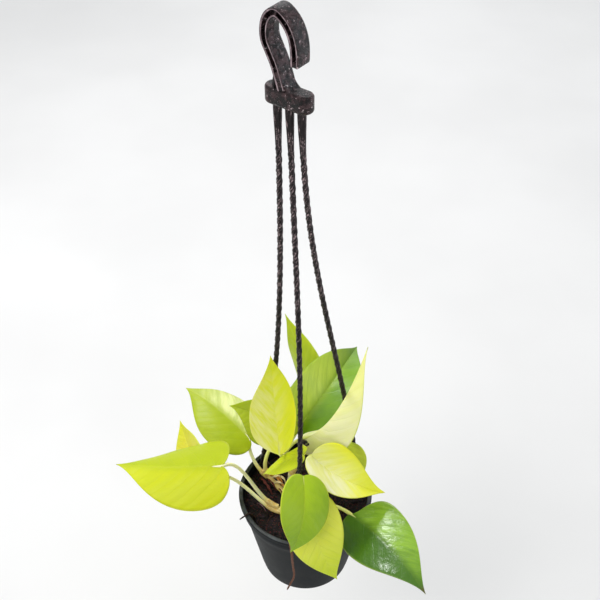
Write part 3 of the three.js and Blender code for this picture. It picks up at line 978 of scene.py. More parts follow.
@dataclass(frozen=True)
class DampCoir:
    """The potting mix: near black, with reddish crumbs and pale specks."""

    dark: Colour = (4, 3, 4)
    crumb: Colour = (32, 12, 15)
    red: Colour = (118, 42, 42)
    pale: Colour = (140, 98, 136)
    depth: float = 0.9

    def material(self, name: str) -> Material:
        """The finish of the mix.

        Args:
            name: The material's name.

        Returns:
            The material.
        """
        look = Surface(name)
        uneven = look.uneven(240.0).outputs
        crumbs = look.ramp(uneven["Broad"], 0.36, 0.66)
        colour = look.mix(crumbs, linear(self.dark), linear(self.crumb))
        red = look.ramp(look.noise(look.place, 420, 3, 0.7), 0.56, 0.68)
        colour = look.mix(red, colour, linear(self.red))
        pale = look.ramp(look.noise(look.place, 760, 2, 0.5), 0.66, 0.73, 0.0, 0.6)
        colour = look.mix(pale, colour, linear(self.pale))
        height = look.maths("ADD", uneven["Height"], look.noise(look.place, 900, 3, 0.7))
        look.set(
            Base_Color=colour,
            Roughness=look.maths("MULTIPLY_ADD", uneven["Fine"], 0.25, 0.68),
            Normal=look.bump(height, self.depth),
        )
        return look.material


# ---------------------------------------------------------------------------- leaves


def half_outline(rows: int, depth: float) -> list[Pair]:
    """Half the outline of a heart-shaped blade, in blade lengths and half widths.

    Args:
        rows: How many steps the outline has, from the notch round the lobe to the tip.
        depth: How deep the lobe is, up to 1. 0 is a round base, and less a drawn-out one.

    Returns:
        Its points, evenly spaced along it.
    """
    lobe = ((0, 0, 0), (-0.16 * depth, 0.1, 0), (-0.14 * depth, 1, 0), (0.26, 1, 0))
    flank = ((0.26, 1, 0), (0.62, 1, 0), (0.8, 0.16, 0), (1, 0, 0))
    route = Route(bezier_line(lobe, 80) + bezier_line(flank, 80)[1:])
    points = [route.at(route.length * i / rows)[0] for i in range(rows + 1)]
    return [(point.x, point.y) for point in points]


@dataclass(frozen=True)
class Blade:
    """One leaf: where its blade starts and ends, how it is bent, and how its petiole runs.

    roll turns the blade about its midrib, fold lifts its halves, curl bends them on towards the
    margin and twist turns the blade on its way to the tip, all in degrees. arch and bend bow the
    midrib, in blade lengths. petiole holds the curve's start on the stem and its two draw points,
    and seat is how far its foot stands in the sheath. lobes are the depths of the base's left and
    right lobes, and wave is how far the margin ripples. The crowdings draw the mesh's columns
    towards the midrib and its rows towards the base.
    """

    name: str
    base: Point
    tip: Point
    width: float
    roll: float
    fold: float
    curl: float
    arch: float
    bend: float
    twist: float
    petiole: tuple[Point, Point, Point]
    seat: float
    slot: str
    finish: LeafFinish
    stalk: FleshyStem
    lobes: Pair = (1.0, 1.0)
    wave: float = 0.5
    thickness: float = 0.7
    rim_thinning: float = 0.14
    rib_height: float = 0.9
    rib_groove: float = 0.12
    petiole_radius: float = 1.5
    foot_swell: float = 0.5
    rib_share: float = 0.36
    rib_crowding: float = 1.2
    base_crowding: float = 1.3
    rows: int = 60
    columns: int = 36

    def sheet(self) -> Callable[[float, float], tuple[Vector, Vector]]:
        """The blade's upper surface, before its waves.

        Returns:
            A function of x in blade lengths and y in half widths, which gives a place and a normal.
        """
        start, end = Vector(self.base), Vector(self.tip)
        length = (end - start).length
        chord = (end - start).normalized()
        level = (Vector((0, 0, 1)) - chord * chord.z).normalized()
        aside = chord.cross(level)
        turn = math.radians(self.roll)
        up = level * math.cos(turn) + aside * math.sin(turn)
        right = chord.cross(up)
        bow = up * (self.arch * length) + right * (self.bend * length)
        third = start + chord * (length / 3) + bow
        two_thirds = start + chord * (2 * length / 3) + bow
        midrib = (start, third, two_thirds, end)
        legs = (third - start, two_thirds - third, end - two_thirds)
        bend_rate = math.radians(self.curl or 0.1) / (self.width / 2)
        first = math.radians(self.fold)

        def at(x: float, y: float) -> tuple[Vector, Vector]:
            """One point of the blade.

            Args:
                x: Where it is along the blade, in blade lengths.
                y: Where it is across it, in half widths.

            Returns:
                Its place and its upward normal.
            """
            share = held_in(x)
            rest = 1 - share
            along = legs[0] * rest**2 + legs[1] * (2 * rest * share) + legs[2] * share**2
            along.normalize()
            centre = bezier(midrib, share) + along * ((x - share) * length)
            side = (right - along * along.dot(right)).normalized()
            normal = side.cross(along)
            twisting = math.radians(self.twist) * (share - 0.3)
            across = side * math.cos(twisting) + normal * math.sin(twisting)
            normal = normal * math.cos(twisting) - side * math.sin(twisting)
            out = abs(y) * self.width / 2
            slope = first + bend_rate * out
            reach = (math.sin(slope) - math.sin(first)) / bend_rate
            rise = (math.cos(first) - math.cos(slope)) / bend_rate
            hand = (y > 0) - (y < 0)
            place = centre + across * (hand * reach) + normal * rise
            face = normal * math.cos(slope if hand else 0.0) - across * (hand * math.sin(slope))
            return place, face

        return at

    def seed(self) -> float:
        """A number that sets this leaf's waves and colours apart from the others'."""
        return sum(ord(c) * (i + 3) for i, c in enumerate(self.name)) % 97 * 0.37

    def add_blade(self, mesh: Mesh) -> None:
        """Adds the blade: a grid on the leaf's outline that is thickened downwards.

        Args:
            mesh: The mesh that takes the blade.
        """
        left, right = (half_outline(self.rows, depth) for depth in self.lobes)
        keep = {name: mesh.verts.layers.float.new(name) for name in ("x", "y", "reach", "row")}
        made = bmesh.ops.create_grid(mesh, x_segments=self.columns, y_segments=self.rows, size=0.5)
        for v in made["verts"]:
            row = round((v.co.y + 0.5) * self.rows)
            reach = 2 * v.co.x
            reach = math.copysign(abs(reach) ** self.rib_crowding, reach)
            edge_x, edge_y = left[row] if reach < 0 else right[row]
            rib = (row / self.rows) ** self.base_crowding
            v[keep["x"]] = rib + (edge_x - rib) * abs(reach)
            v[keep["y"]] = edge_y * reach
            v[keep["reach"]] = reach
            v[keep["row"]] = row / self.rows
        under = set(made["verts"])
        grown = bmesh.ops.extrude_face_region(mesh, geom=list(mesh.faces), use_keep_orig=True)
        over = {g for g in grown["geom"] if isinstance(g, Vert)}
        flat = {v: tuple(v[layer] for layer in keep.values()) for v in under | over}
        self.shape(mesh, flat, over)

    def shape(
        self, mesh: Mesh, flat: dict[Vert, tuple[float, ...]], over: set[Vert]
    ) -> None:
        """Bends the flat blade to its shape and gives it its maps.

        Args:
            mesh: The mesh that holds the blade.
            flat: Each vertex's x and y on the blade, its reach to the margin and its row.
            over: The vertices of the upper face.
        """
        at = self.sheet()
        seed = self.seed()
        for v, (x, y, reach, row) in flat.items():
            place, face = at(x, y)
            ripple = math.sin(7.5 * x + seed + 1.7 * y) + 0.6 * math.sin(15 * x + 2 * seed - 2 * y)
            lift = self.wave * ripple * smooth(0.45, 1.0, abs(reach)) * math.sin(math.pi * held_in(row))
            rim = self.rim_thinning * smooth(0.9, 1.0, abs(reach))
            rib = math.exp(-((y * self.width / 2) / 1.1) ** 2) * (1 - held_in(x) ** 0.8)
            if v in over:
                v.co = placed(place + face * (lift - rim - self.rib_groove * rib))
            else:
                v.co = placed(place + face * (lift + rim - self.thickness - self.rib_height * rib))
        surface, margin = (mesh.loops.layers.uv[name] for name in ("surface", "margin"))
        faces = {f for v in flat for f in v.link_faces}
        for f in faces:
            f.smooth = True
            f.material_index = 0 if all(v in over for v in f.verts) else 1
            for loop in f.loops:
                x, y, reach, row = flat[loop.vert]
                loop[surface].uv = (x, y)
                loop[margin].uv = (abs(reach), row)
        bmesh.ops.remove_doubles(mesh, verts=list(flat), dist=TIP_SEAM)
        bmesh.ops.recalc_face_normals(mesh, faces=[f for f in faces if f.is_valid])

    def route(self) -> Route:
        """The petiole's way, and on along the underside of the midrib.

        Returns:
            The route, from the petiole's foot in the stem.
        """
        at = self.sheet()

        def under(x: float, drop: float) -> Vector:
            """A point a little below the midrib."""
            place, face = at(x, 0)
            return place - face * drop

        line = bezier_line((*self.petiole, under(0.0, 1.35)), 60)
        for i in range(1, 11):
            line.append(under(0.036 * i, between(1.45, 0.75, i / 10)))
        return Route(line)

    def add_petiole(self, mesh: Mesh) -> None:
        """Adds the petiole, which is thicker at its foot and runs out under the midrib.

        Args:
            mesh: The mesh that takes the petiole.
        """
        route = self.route()
        held = route.stretch(self.seat * 0.35, route.length, 90)
        rib = (Vector(self.tip) - Vector(self.base)).length * self.rib_share
        free = held.length - rib

        def radius(distance: float, turn: float) -> float:
            """The petiole's radius: a knee under the blade, and a shallow groove along it.

            Args:
                distance: The distance along the route.
                turn: The turn round it, in radians.

            Returns:
                The radius.
            """
            share = min(1.0, distance / free)
            body = self.petiole_radius + self.foot_swell * (1 - share) ** 2
            knee = 0.22 * math.exp(-(((distance - free + 3) / 4.5) ** 2))
            body = between(body + knee, 0.3, smooth(free - 1, free + 0.75 * rib, distance))
            return body * (1 - 0.09 * max(0.0, math.cos(turn)) ** 3)

        add_tube(mesh, held, radius, 70, 14, material=2)

    def build(self) -> Object:
        """Builds the leaf and dresses it.

        Returns:
            The leaf.
        """
        mesh = new_mesh()
        self.add_blade(mesh)
        self.add_petiole(mesh)
        materials = [
            self.finish.upper(f"{self.name}_face"),
            self.finish.lower(f"{self.name}_underside"),
            self.stalk.material(f"{self.name}_petiole"),
        ]
        return finish_piece(f"blade_{self.name}", mesh, materials, [f"leaf_{self.name}"])


CREAM = FleshyStem(low=(255, 222, 112), high=(255, 252, 196), reach=24)
LIME_STALK = FleshyStem(low=(240, 224, 140), high=(234, 238, 132), reach=30)
GREEN_STALK = FleshyStem(low=(232, 218, 130), high=(206, 222, 96), reach=34)

# Painted light: the pale left half is the side that faces the light, and the darker right half is the
# painted shaded side.
GOLD = LeafFinish(
    blade=(182, 196, 6), deep=(172, 188, 6), pale=(206, 213, 12),
    under=(206, 210, 70), margin=(224, 228, 90), vein=(190, 200, 10),
    pale_or_lit_half=PaleOrLitHalf.LEFT, pale_amount=1.0, pale_end=3.0, pale_even=0.85, rib_amount=0.05,
)
BACK_GOLD = LeafFinish(
    blade=(208, 214, 30), deep=(214, 200, 26), pale=(240, 236, 130),
    under=(200, 206, 60), margin=(238, 236, 130), vein=(186, 194, 30),
    pale_amount=0.3,
)
# Painted highlight: the pale band on the right half stands for the window light reflected along the blade.
STREAKED_LIME = LeafFinish(
    blade=(170, 186, 8), deep=(152, 174, 12), pale=(240, 244, 170),
    under=(176, 192, 60), margin=(228, 232, 120), vein=(186, 202, 60),
    pale_or_lit_half=PaleOrLitHalf.RIGHT, pale_amount=0.95, quilt=0.07,
)
SHADED_GREEN = LeafFinish(
    blade=(188, 204, 36), deep=(170, 190, 34), pale=(204, 214, 70),
    under=(176, 194, 60), margin=(120, 140, 30), vein=(196, 208, 60),
    margin_amount=0.7,
)
# Painted highlight: the cream on the left half stands for glare on the blade.
BRIGHT_YELLOW = LeafFinish(
    blade=(234, 236, 18), deep=(214, 224, 14), pale=(248, 246, 170),
    under=(216, 220, 80), margin=(240, 240, 100), vein=(214, 216, 40),
    pale_or_lit_half=PaleOrLitHalf.LEFT, pale_amount=0.8, pale_even=0.2, half_edge=(-0.8, 0.7),
    vein_amount=0.06, rib_amount=0.02,
)
SMALL_LIME = LeafFinish(
    blade=(206, 216, 12), deep=(182, 200, 12), pale=(220, 228, 80),
    under=(190, 204, 60), margin=(224, 230, 90), vein=(176, 194, 30),
)
TALL_LIME = LeafFinish(
    blade=(182, 198, 20), deep=(156, 182, 26), pale=(206, 216, 70),
    under=(176, 194, 50), margin=(220, 228, 110), vein=(160, 182, 40),
)
# Partly painted highlight: the pale left half is yellow-green streaking between the veins, with painted
# highlights of light on the quilted blade.
DARK_QUILTED = LeafFinish(
    blade=(126, 168, 24), deep=(94, 138, 26), pale=(226, 242, 92),
    under=(124, 160, 60), margin=(90, 130, 36), vein=(84, 136, 30),
    pale_or_lit_half=PaleOrLitHalf.LEFT, pale_amount=0.72, pale_end=0.95, pale_even=0.75,
    half_edge=(-0.25, 0.3), vein_amount=0.12, rib_amount=0.1, vein_count=7, gloss=0.34, sheen=0.35,
    quilt=0.09,
)
PALE_CREAM = LeafFinish(
    blade=(244, 244, 148), deep=(232, 238, 120), pale=(255, 253, 200),
    under=(255, 253, 200), margin=(206, 218, 60), vein=(230, 234, 116),
    pale_amount=0.9, pale_end=0.9, margin_amount=0.8, vein_amount=0.12, gloss=0.5,
)
CREAM_YELLOW = LeafFinish(
    blade=(240, 241, 44), deep=(222, 230, 40), pale=(255, 253, 216),
    under=(216, 222, 90), margin=(232, 232, 40), vein=(226, 226, 44),
    pale_or_lit_half=PaleOrLitHalf.RIGHT, pale_amount=0.9, pale_end=0.8, half_edge=(-1.1, 0.5),
    margin_amount=0.5, vein_amount=0.15, rib_amount=0.02, vein_count=9, quilt=0.1,
)
BACK_LIME = LeafFinish(
    blade=(206, 216, 60), deep=(178, 198, 52), pale=(210, 220, 90),
    under=(176, 192, 60), margin=(206, 216, 70), vein=(160, 184, 46),
)
MID_GREEN = LeafFinish(
    blade=(170, 200, 22), deep=(122, 162, 24), pale=(176, 200, 60),
    under=(150, 180, 60), margin=(228, 230, 70), vein=(172, 198, 60),
    margin_amount=0.6, tip_shade=0.8, rib_amount=0.06, gloss=0.42,
)
FRONT_LIME = LeafFinish(
    blade=(242, 246, 76), deep=(190, 208, 20), pale=(234, 236, 120),
    under=(196, 208, 70), margin=(230, 234, 100), vein=(184, 202, 40),
    pale_amount=0.3, tip_shade=0.9, vein_amount=0.22, rib_amount=0.08, quilt=0.2,
)
# Partly painted highlight: the pale band on the left half is painted sheen round the glare, over the
# blade's own green.
GLOSSY_GREEN = LeafFinish(
    blade=(78, 122, 26), deep=(60, 100, 24), pale=(158, 200, 60),
    under=(116, 150, 60), margin=(180, 200, 80), vein=(72, 124, 30),
    pale_or_lit_half=PaleOrLitHalf.LEFT, pale_amount=0.85, pale_end=1.1, margin_amount=0.5, vein_amount=0.12,
    rib_amount=0.04, gloss=0.21, sheen=0.5, quilt=0.05, pucker=0.27, dry_tip=0.9,
)

LEAVES = (
    Blade(
        "left_large", base=(-72.5, -14, 146.5), tip=(-169, 10, 121), width=76.5,
        roll=-10, fold=-12, curl=-25, arch=-0.02, bend=-0.01, twist=-31,
        petiole=((-24.5, -14.6, 90.2), (-46, -10.5, 96), (-54, 0, 146)), seat=11.5,
        slot="leaf_gold", finish=GOLD, stalk=CREAM, lobes=(0.9, 0.45),
    ),
    Blade(
        "left_back", base=(-92.5, 7, 100), tip=(-117.5, 67, 115.5), width=40,
        roll=-52, fold=15, curl=2, arch=0.03, bend=0, twist=-3,
        petiole=((-22, -17.5, 87.6), (-44, -14, 87), (-62, 14, 122)), seat=13,
        slot="leaf_gold", finish=BACK_GOLD, stalk=CREAM,
    ),
    Blade(
        "upper_left", base=(-50.5, 42, 118), tip=(-113, 95, 130.5), width=62.5,
        roll=4, fold=1, curl=-29, arch=0.1, bend=0, twist=21,
        petiole=((-34, 20, 90), (-45, 22, 98), (-53, 31, 115)), seat=8,
        slot="leaf_lime", finish=STREAKED_LIME, stalk=CREAM,
    ),
    Blade(
        "behind_centre", base=(-21.5, 40, 124.5), tip=(-68.5, 52.5, 150.5), width=48,
        roll=-70, fold=15, curl=-7, arch=0.03, bend=0.17, twist=-18,
        petiole=((-34, 20, 91), (-41, 20, 106), (-33, 23, 130)), seat=9,
        slot="leaf_green", finish=SHADED_GREEN, stalk=LIME_STALK, wave=0.25,
    ),
    Blade(
        "centre", base=(-22, -11, 155.5), tip=(-28, 16.5, 248), width=46,
        roll=-33, fold=9, curl=25, arch=-0.148, bend=-0.075, twist=-71,
        petiole=((-13, 11, 108), (-14, 15, 130), (-19, 8, 150)), seat=9,
        slot="leaf_gold", finish=BRIGHT_YELLOW, stalk=LIME_STALK, lobes=(-0.2, -0.2),
    ),
    Blade(
        "centre_small", base=(-3.5, -12.5, 158.5), tip=(-37.5, -5, 123.5), width=29,
        roll=4, fold=5, curl=-19, arch=0.07, bend=-0.02, twist=-9,
        petiole=((-12, 9, 108), (-5, 8, 128), (2, -2, 158)), seat=8,
        slot="leaf_lime", finish=SMALL_LIME, stalk=LIME_STALK, wave=0.3,
    ),
    Blade(
        "top_back", base=(7, 73.5, 134.5), tip=(-18, 123.5, 198.5), width=43,
        roll=-70, fold=-1, curl=-29, arch=-0.02, bend=0.03, twist=-18,
        petiole=((-25, 25, 92), (-20, 45, 100), (2, 66, 118)), seat=9,
        slot="leaf_lime", finish=TALL_LIME, stalk=LIME_STALK,
    ),
    Blade(
        "back_dark", base=(-4.5, 47.5, 128.5), tip=(50.5, 124, 156), width=64.5,
        roll=27, fold=27, curl=5, arch=0.26, bend=-0.01, twist=-5,
        petiole=((-24, 25, 96), (-19, 34, 112), (-12, 42, 124)), seat=9,
        slot="leaf_dark", finish=DARK_QUILTED, stalk=GREEN_STALK,
    ),
    Blade(
        "right_pale", base=(-3, 22.5, 140.5), tip=(52.5, 36.5, 238.5), width=57.5,
        roll=-14, fold=-29, curl=-61, arch=0.01, bend=0.31, twist=-2,
        petiole=((-24, 23, 97), (-21, 24, 116), (-12, 24, 136)), seat=9,
        slot="leaf_cream", finish=PALE_CREAM, stalk=LIME_STALK, wave=0.2,
    ),
    Blade(
        "right_yellow", base=(5.5, -17, 162.5), tip=(68, -33.5, 134), width=49,
        roll=22, fold=36, curl=-7, arch=-0.03, bend=0.1, twist=-3,
        petiole=((9, -11, 106), (6, -6, 126), (1, -9, 154)), seat=8,
        slot="leaf_yellow", finish=CREAM_YELLOW, stalk=LIME_STALK, lobes=(0.35, 0.55), wave=0.15,
    ),
    Blade(
        "right_back", base=(30, 14, 134), tip=(44, -26.5, 124), width=43.5,
        roll=23, fold=8, curl=-26, arch=-0.06, bend=0.05, twist=21,
        petiole=((10, -10, 104), (15, 0, 118), (22, 12, 132)), seat=8,
        slot="leaf_lime", finish=BACK_LIME, stalk=LIME_STALK, wave=0.3,
    ),
    Blade(
        "front_green", base=(-2, -47.5, 173), tip=(-13, -82.5, 118), width=46.5,
        roll=-43, fold=16, curl=-25, arch=0.24, bend=0.013, twist=-32,
        petiole=((9, -13, 100), (12, -30, 128), (3, -46, 162)), seat=9,
        slot="leaf_green", finish=MID_GREEN, stalk=GREEN_STALK, lobes=(0.3, 0.3), wave=0.15,
    ),
    Blade(
        "front_lime", base=(2.5, -51, 142), tip=(26.5, -84, 81), width=49,
        roll=28, fold=7, curl=-29, arch=0.17, bend=0.06, twist=-4,
        petiole=((9, -14, 94), (13, -26, 108), (8, -38, 134)), seat=8,
        slot="leaf_lime", finish=FRONT_LIME, stalk=GREEN_STALK, wave=0.15,
    ),
    Blade(
        "right_dark", base=(38.6, -36, 108), tip=(96, -118, 111), width=57,
        roll=22.5, fold=-2, curl=-4, arch=0.05, bend=-0.06, twist=22,
        petiole=((10, -13, 91), (19, -19, 100), (28, -26, 108)), seat=8,
        slot="leaf_dark", finish=GLOSSY_GREEN, stalk=LIME_STALK, lobes=(-0.5, 0.3),
    ),
)

# ---------------------------------------------------------------------------- pot and mix

COLLAR_RADIUS = 57.6
ANCHORS = {"front": math.radians(-98.7), "right": math.radians(21.3), "left": math.radians(141.3)}
ANCHOR_HEIGHT = 87.6
BORE_LENGTH = 14


def rounded(centre: Pair, radius: float, start: float, end: float, count: int) -> list[Pair]:
    """Points of an arc in a profile.

    Args:
        centre: The arc's middle.
        radius: Its radius.
        start: The angle of its first point, in degrees.
        end: The angle of its last point, in degrees.
        count: How many steps it has.

    Returns:
        Its points.
    """
    made = []
    for i in range(count + 1):
        turn = math.radians(between(start, end, i / count))
        made.append((centre[0] + radius * math.cos(turn), centre[1] + radius * math.sin(turn)))
    return made


def add_bore(mesh: Mesh, place: Matrix, radius: float, sides: int) -> None:
    """Adds a closed cylinder that cuts a hole through a thin wall.

    Args:
        mesh: The mesh that takes it.
        place: Where its middle is and how it is turned.
        radius: Its radius in millimetres.
        sides: How many faces go round it.
    """
    bmesh.ops.create_cone(
        mesh, cap_ends=True, segments=sides, radius1=radius * MM, radius2=radius * MM,
        depth=BORE_LENGTH * MM, matrix=place,
    )


@dataclass
class Pot:
    """The nursery pot: a thin tapered wall, a step, a collar and a rolled lip."""

    height: float = 95.0
    rim_radius: float = 60.0
    collar_height: float = 13.0
    body_radius: float = 56.0
    base_radius: float = 40.5
    wall: float = 1.4
    floor: float = 1.6
    foot: float = 1.2
    lip_height: float = 3.5
    drains: int = 6
    drain_radius: float = 4.0
    drain_circle: float = 27.0
    anchor_radius: float = 2.15
    anchor_reach: float = 58.0
    # The faces on the lip's top, above lip_highlight_height below the rim, take a painted highlight.
    lip_highlight_height: float = 0.45
    lip_highlight_finish: Plastic = Plastic(colour=(30, 34, 37), dull=(72, 78, 81), rough=0.42, depth=0.1)
    finish: Plastic = Plastic(colour=(13, 18, 20), dull=(21, 27, 30), rough=0.58, depth=0.1, sheen=0.16)

    def profile(self) -> list[Pair]:
        """The pot's section.

        Returns:
            Its points, from the middle of the underside round to the middle of the floor.
        """
        base, body, collar = self.base_radius, self.body_radius, COLLAR_RADIUS
        step = self.height - self.collar_height
        lip = self.height - self.lip_height
        inner = collar - self.wall
        floor = self.foot + self.floor
        flare = (body - base) / step
        line = [(0, self.foot), (18, self.foot), (base - 7, self.foot)]
        line += [(base - 6.4, 0.2), (base - 6, 0), (base - 2, 0)]
        line += rounded((base - 2, 2), 2, -80, -10, 5)
        for i in range(1, 12):
            z = between(2.6, step - 1.6, i / 11)
            line.append((base + flare * z, z))
        line += [(body + 0.1, step - 1.0), (collar - 0.5, step - 0.2)]
        line += [(collar, step + rise) for rise in (0.5, 4, 7)]
        line += [(collar, lip - 0.3), (collar + 0.4, lip), (self.rim_radius - 0.7, lip)]
        line += rounded((self.rim_radius - 0.7, lip + 0.7), 0.7, -70, 0, 3)
        line += rounded((self.rim_radius - 1.1, self.height - 1.1), 1.1, 0, 90, 5)
        line += [(inner + 1.4, self.height), *rounded((inner + 0.9, self.height - 0.9), 0.9, 90, 180, 4)]
        line += [(inner, lip - 2), (inner, step + 4), (inner, step - self.wall + 0.6)]
        line += [(inner - 0.6, step - self.wall - 0.2), (body - self.wall - 0.4, step - self.wall - 1)]
        for i in range(1, 8):
            z = between(step - 3, floor + 1.5, i / 7)
            line.append((base + flare * z - self.wall, z))
        line += [(base - self.wall - 1.2, floor), (18, floor), (0, floor)]
        return line

    def cutters(self) -> Mesh:
        """The drain holes of the base and the holes of the collar that take the strands.

        Returns:
            A mesh with a cylinder for each hole.
        """
        mesh = bmesh.new()
        for i in range(self.drains):
            turn = math.radians(60 * i + 30)
            spot = placed((self.drain_circle * math.cos(turn), self.drain_circle * math.sin(turn), 2))
            add_bore(mesh, Matrix.Translation(spot), self.drain_radius, 28)
        for azimuth in ANCHORS.values():
            reach = self.anchor_reach
            spot = placed((reach * math.cos(azimuth), reach * math.sin(azimuth), ANCHOR_HEIGHT))
            turned = Matrix.Rotation(azimuth, 4, "Z") @ Matrix.Rotation(math.pi / 2, 4, "Y")
            add_bore(mesh, Matrix.Translation(spot) @ turned, self.anchor_radius, 24)
        return mesh

    def build(self) -> Object:
        """Builds the pot and dresses it.

        Returns:
            The pot.
        """
        mesh = new_mesh()
        add_lathe(mesh, self.profile(), 144)
        plain = self.finish.material("charcoal_plastic")
        lip_highlight = self.lip_highlight_finish.material("scuffed_lip")
        pot = finish_piece("nursery_pot", mesh, [plain, lip_highlight], ["pot"])
        cut_away(pot, self.cutters())
        # Painted highlight: the faces on the lip's top take the lighter finish.
        lip = placed((0, 0, self.height - self.lip_highlight_height)).z
        for face in pot.data.polygons:
            face.material_index = int(face.center.z > lip)
        soften(pot, 38)
        return pot


@dataclass
class PottingMix:
    """The coir mix: a rough surface with crumbs, chips and loose fibres.

    side holds the lowest and the highest point of the slanting side, and brim the heights of the
    upright edge that rests on the pot's step.
    """

    height: float = 84.0
    radius: float = 55.8
    underside: tuple[Pair, ...] = ((0, 3.2), (20, 3.2), (38.6, 3.2))
    side: tuple[Pair, Pair] = ((38.7, 3.4), (53.3, 79.6))
    brim: Pair = (81.4, 83.0)
    crumb_sizes: tuple[float, ...] = (0.5, 0.7, 0.9, 1.2, 1.6)
    crumbs: int = 620
    fibres: int = 90
    seed: int = 11
    finish: DampCoir = DampCoir()
    fibre_finish: DryFibre = DryFibre(colour=(58, 28, 24), light=(118, 66, 52))

    def level(self, x: float, y: float) -> float:
        """The height of the surface.

        Args:
            x: The place from left to right.
            y: The place from front to back.

        Returns:
            The height above the pot's base.
        """
        broad = math.sin(x * 0.17 + 1.3) * math.cos(y * 0.21 - 0.4)
        small = math.sin(x * 0.41 - y * 0.33) * math.cos(x * 0.29 + y * 0.47)
        edge = smooth(self.radius - 6, self.radius, math.hypot(x, y))
        lumps = 1.1 * (0.6 * broad + 0.4 * small) * (1 - edge)
        rough = noise.fractal(Vector((x * 0.28, y * 0.28, 3.1)), 0.6, 2.1, 5)
        return self.height + lumps + 1.3 * rough * (1 - 0.6 * edge) - 0.6 * edge

    def body(self) -> Mesh:
        """The mix as one closed form that fills the pot.

        Returns:
            Its mesh.
        """
        mesh = new_mesh()
        (inner, low), (outer, high) = self.side
        line = list(self.underside)
        line += [(between(inner, outer, i / 8), between(low, high, i / 8)) for i in range(1, 9)]
        line += [(self.radius, height) for height in self.brim]
        line += [(self.radius * (1 - i / 52), self.height) for i in range(52)]
        line.append((0, self.height))
        made = add_lathe(mesh, line, 180)
        base = placed((0, 0, 0)).z
        for v in made:
            z = (v.co.z - base) / MM
            if z > self.height - 0.01:
                x, y = (v.co.x / MM + HANG_POINT.x, v.co.y / MM + HANG_POINT.y)
                v.co.z = base + self.level(x, y) * MM
        return mesh

    def add_crumbs(self, mesh: Mesh, chance: random.Random) -> None:
        """Strews crumbs and flat chips over the surface.

        Args:
            mesh: The mesh that takes them.
            chance: The source of their places and sizes.
        """
        for _ in range(self.crumbs):
            away = (self.radius - 2.5) * math.sqrt(chance.random())
            turn = chance.uniform(0, 2 * math.pi)
            x, y = away * math.cos(turn), away * math.sin(turn)
            size = chance.choice(self.crumb_sizes) * chance.uniform(0.8, 1.2)
            stretch = (size * chance.uniform(1.0, 1.9), size, size * chance.uniform(0.45, 0.9))
            matrix = Matrix.Translation(placed((x, y, self.level(x, y) + 0.25 * size)))
            turned = Matrix.Rotation(chance.uniform(0, 6.28), 4, "Z")
            turned @= Matrix.Rotation(chance.uniform(-0.6, 0.6), 4, "X")
            matrix = matrix @ turned @ Matrix.Diagonal((*[s * MM for s in stretch], 1.0))
            made = bmesh.ops.create_icosphere(mesh, subdivisions=1, radius=1.0, matrix=matrix)
            for v in made["verts"]:
                v.co += Vector([chance.uniform(-0.16, 0.16) * size * MM for _ in range(3)])

    def add_fibres(self, mesh: Mesh, chance: random.Random) -> None:
        """Lays loose coir fibres on the surface, which turn back before they reach the wall.

        Args:
            mesh: The mesh that takes them.
            chance: The source of their places and bends.
        """
        furthest = self.radius - 1.5
        for _ in range(self.fibres):
            away = (self.radius - 8) * math.sqrt(chance.random())
            turn = chance.uniform(0, 2 * math.pi)
            x, y = away * math.cos(turn), away * math.sin(turn)
            heading = chance.uniform(0, 2 * math.pi)
            line = []
            for _ in range(5):
                line.append(Vector((x, y, self.level(x, y) + chance.uniform(0.1, 1.3))))
                heading += chance.uniform(-0.6, 0.6)
                step = chance.uniform(1.6, 3.4)
                x, y = x + step * math.cos(heading), y + step * math.sin(heading)
                reach = math.hypot(x, y)
                if reach > furthest:
                    x, y = x * furthest / reach, y * furthest / reach
                    heading += 1.9
            thick = chance.uniform(0.12, 0.32)
            route = Route(spline_line(line, 4))
            length = route.length
            add_tube(mesh, route, lambda d, t: thick * (1 - 0.6 * d / length), 12, 5)

    def build(self) -> list[Object]:
        """Builds the mix, its crumbs and its fibres.

        Returns:
            The three pieces.
        """
        mix = self.finish.material("coir_mix")
        chance = random.Random(self.seed)
        body = finish_piece("coir_mix_body", self.body(), [mix], ["soil"])
        loose = new_mesh()
        self.add_crumbs(loose, chance)
        crumbs = finish_piece("coir_crumbs", loose, [mix], [])
        strands = new_mesh()
        self.add_fibres(strands, chance)
        dry = self.fibre_finish.material("coir_fibre")
        fibres = finish_piece("coir_fibres", strands, [dry], [])
        return [body, crumbs, fibres]


# ---------------------------------------------------------------------------- hanger

HUB = Vector((-10, 1, 487))
HANGER_TURN = math.radians(-37)
STRAND_PITCH = 10
# Its pale specks are painted glints.
BROWN_BLACK = Plastic(
    colour=(3, 2, 3), dull=(72, 52, 54), rough=0.26, depth=0.3, sheen=0.24,
    glint_speck=(214, 194, 196), patch_scale=230.0,
)
# Painted highlight: the lighter colour on the flanges' edges stands for light caught there.
EDGE_HIGHLIGHT = Plastic(
    colour=(118, 99, 104), dull=(184, 162, 167), rough=0.35, depth=0.2, patch_scale=190.0
)
# Its wisp_highlight colour is a painted highlight.
STRAND_PLASTIC = TwistedPlastic(colour=(3, 2, 3), dull=(38, 29, 31), wisp_highlight=(196, 172, 174))


def on_hanger(along: float, through: float, up: float) -> Vector:
    """A point of the hanger: along the bar, through its thickness and up from its underside."""
    cos, sin = math.cos(HANGER_TURN), math.sin(HANGER_TURN)
    return HUB + Vector((along * cos - through * sin, along * sin + through * cos, up))


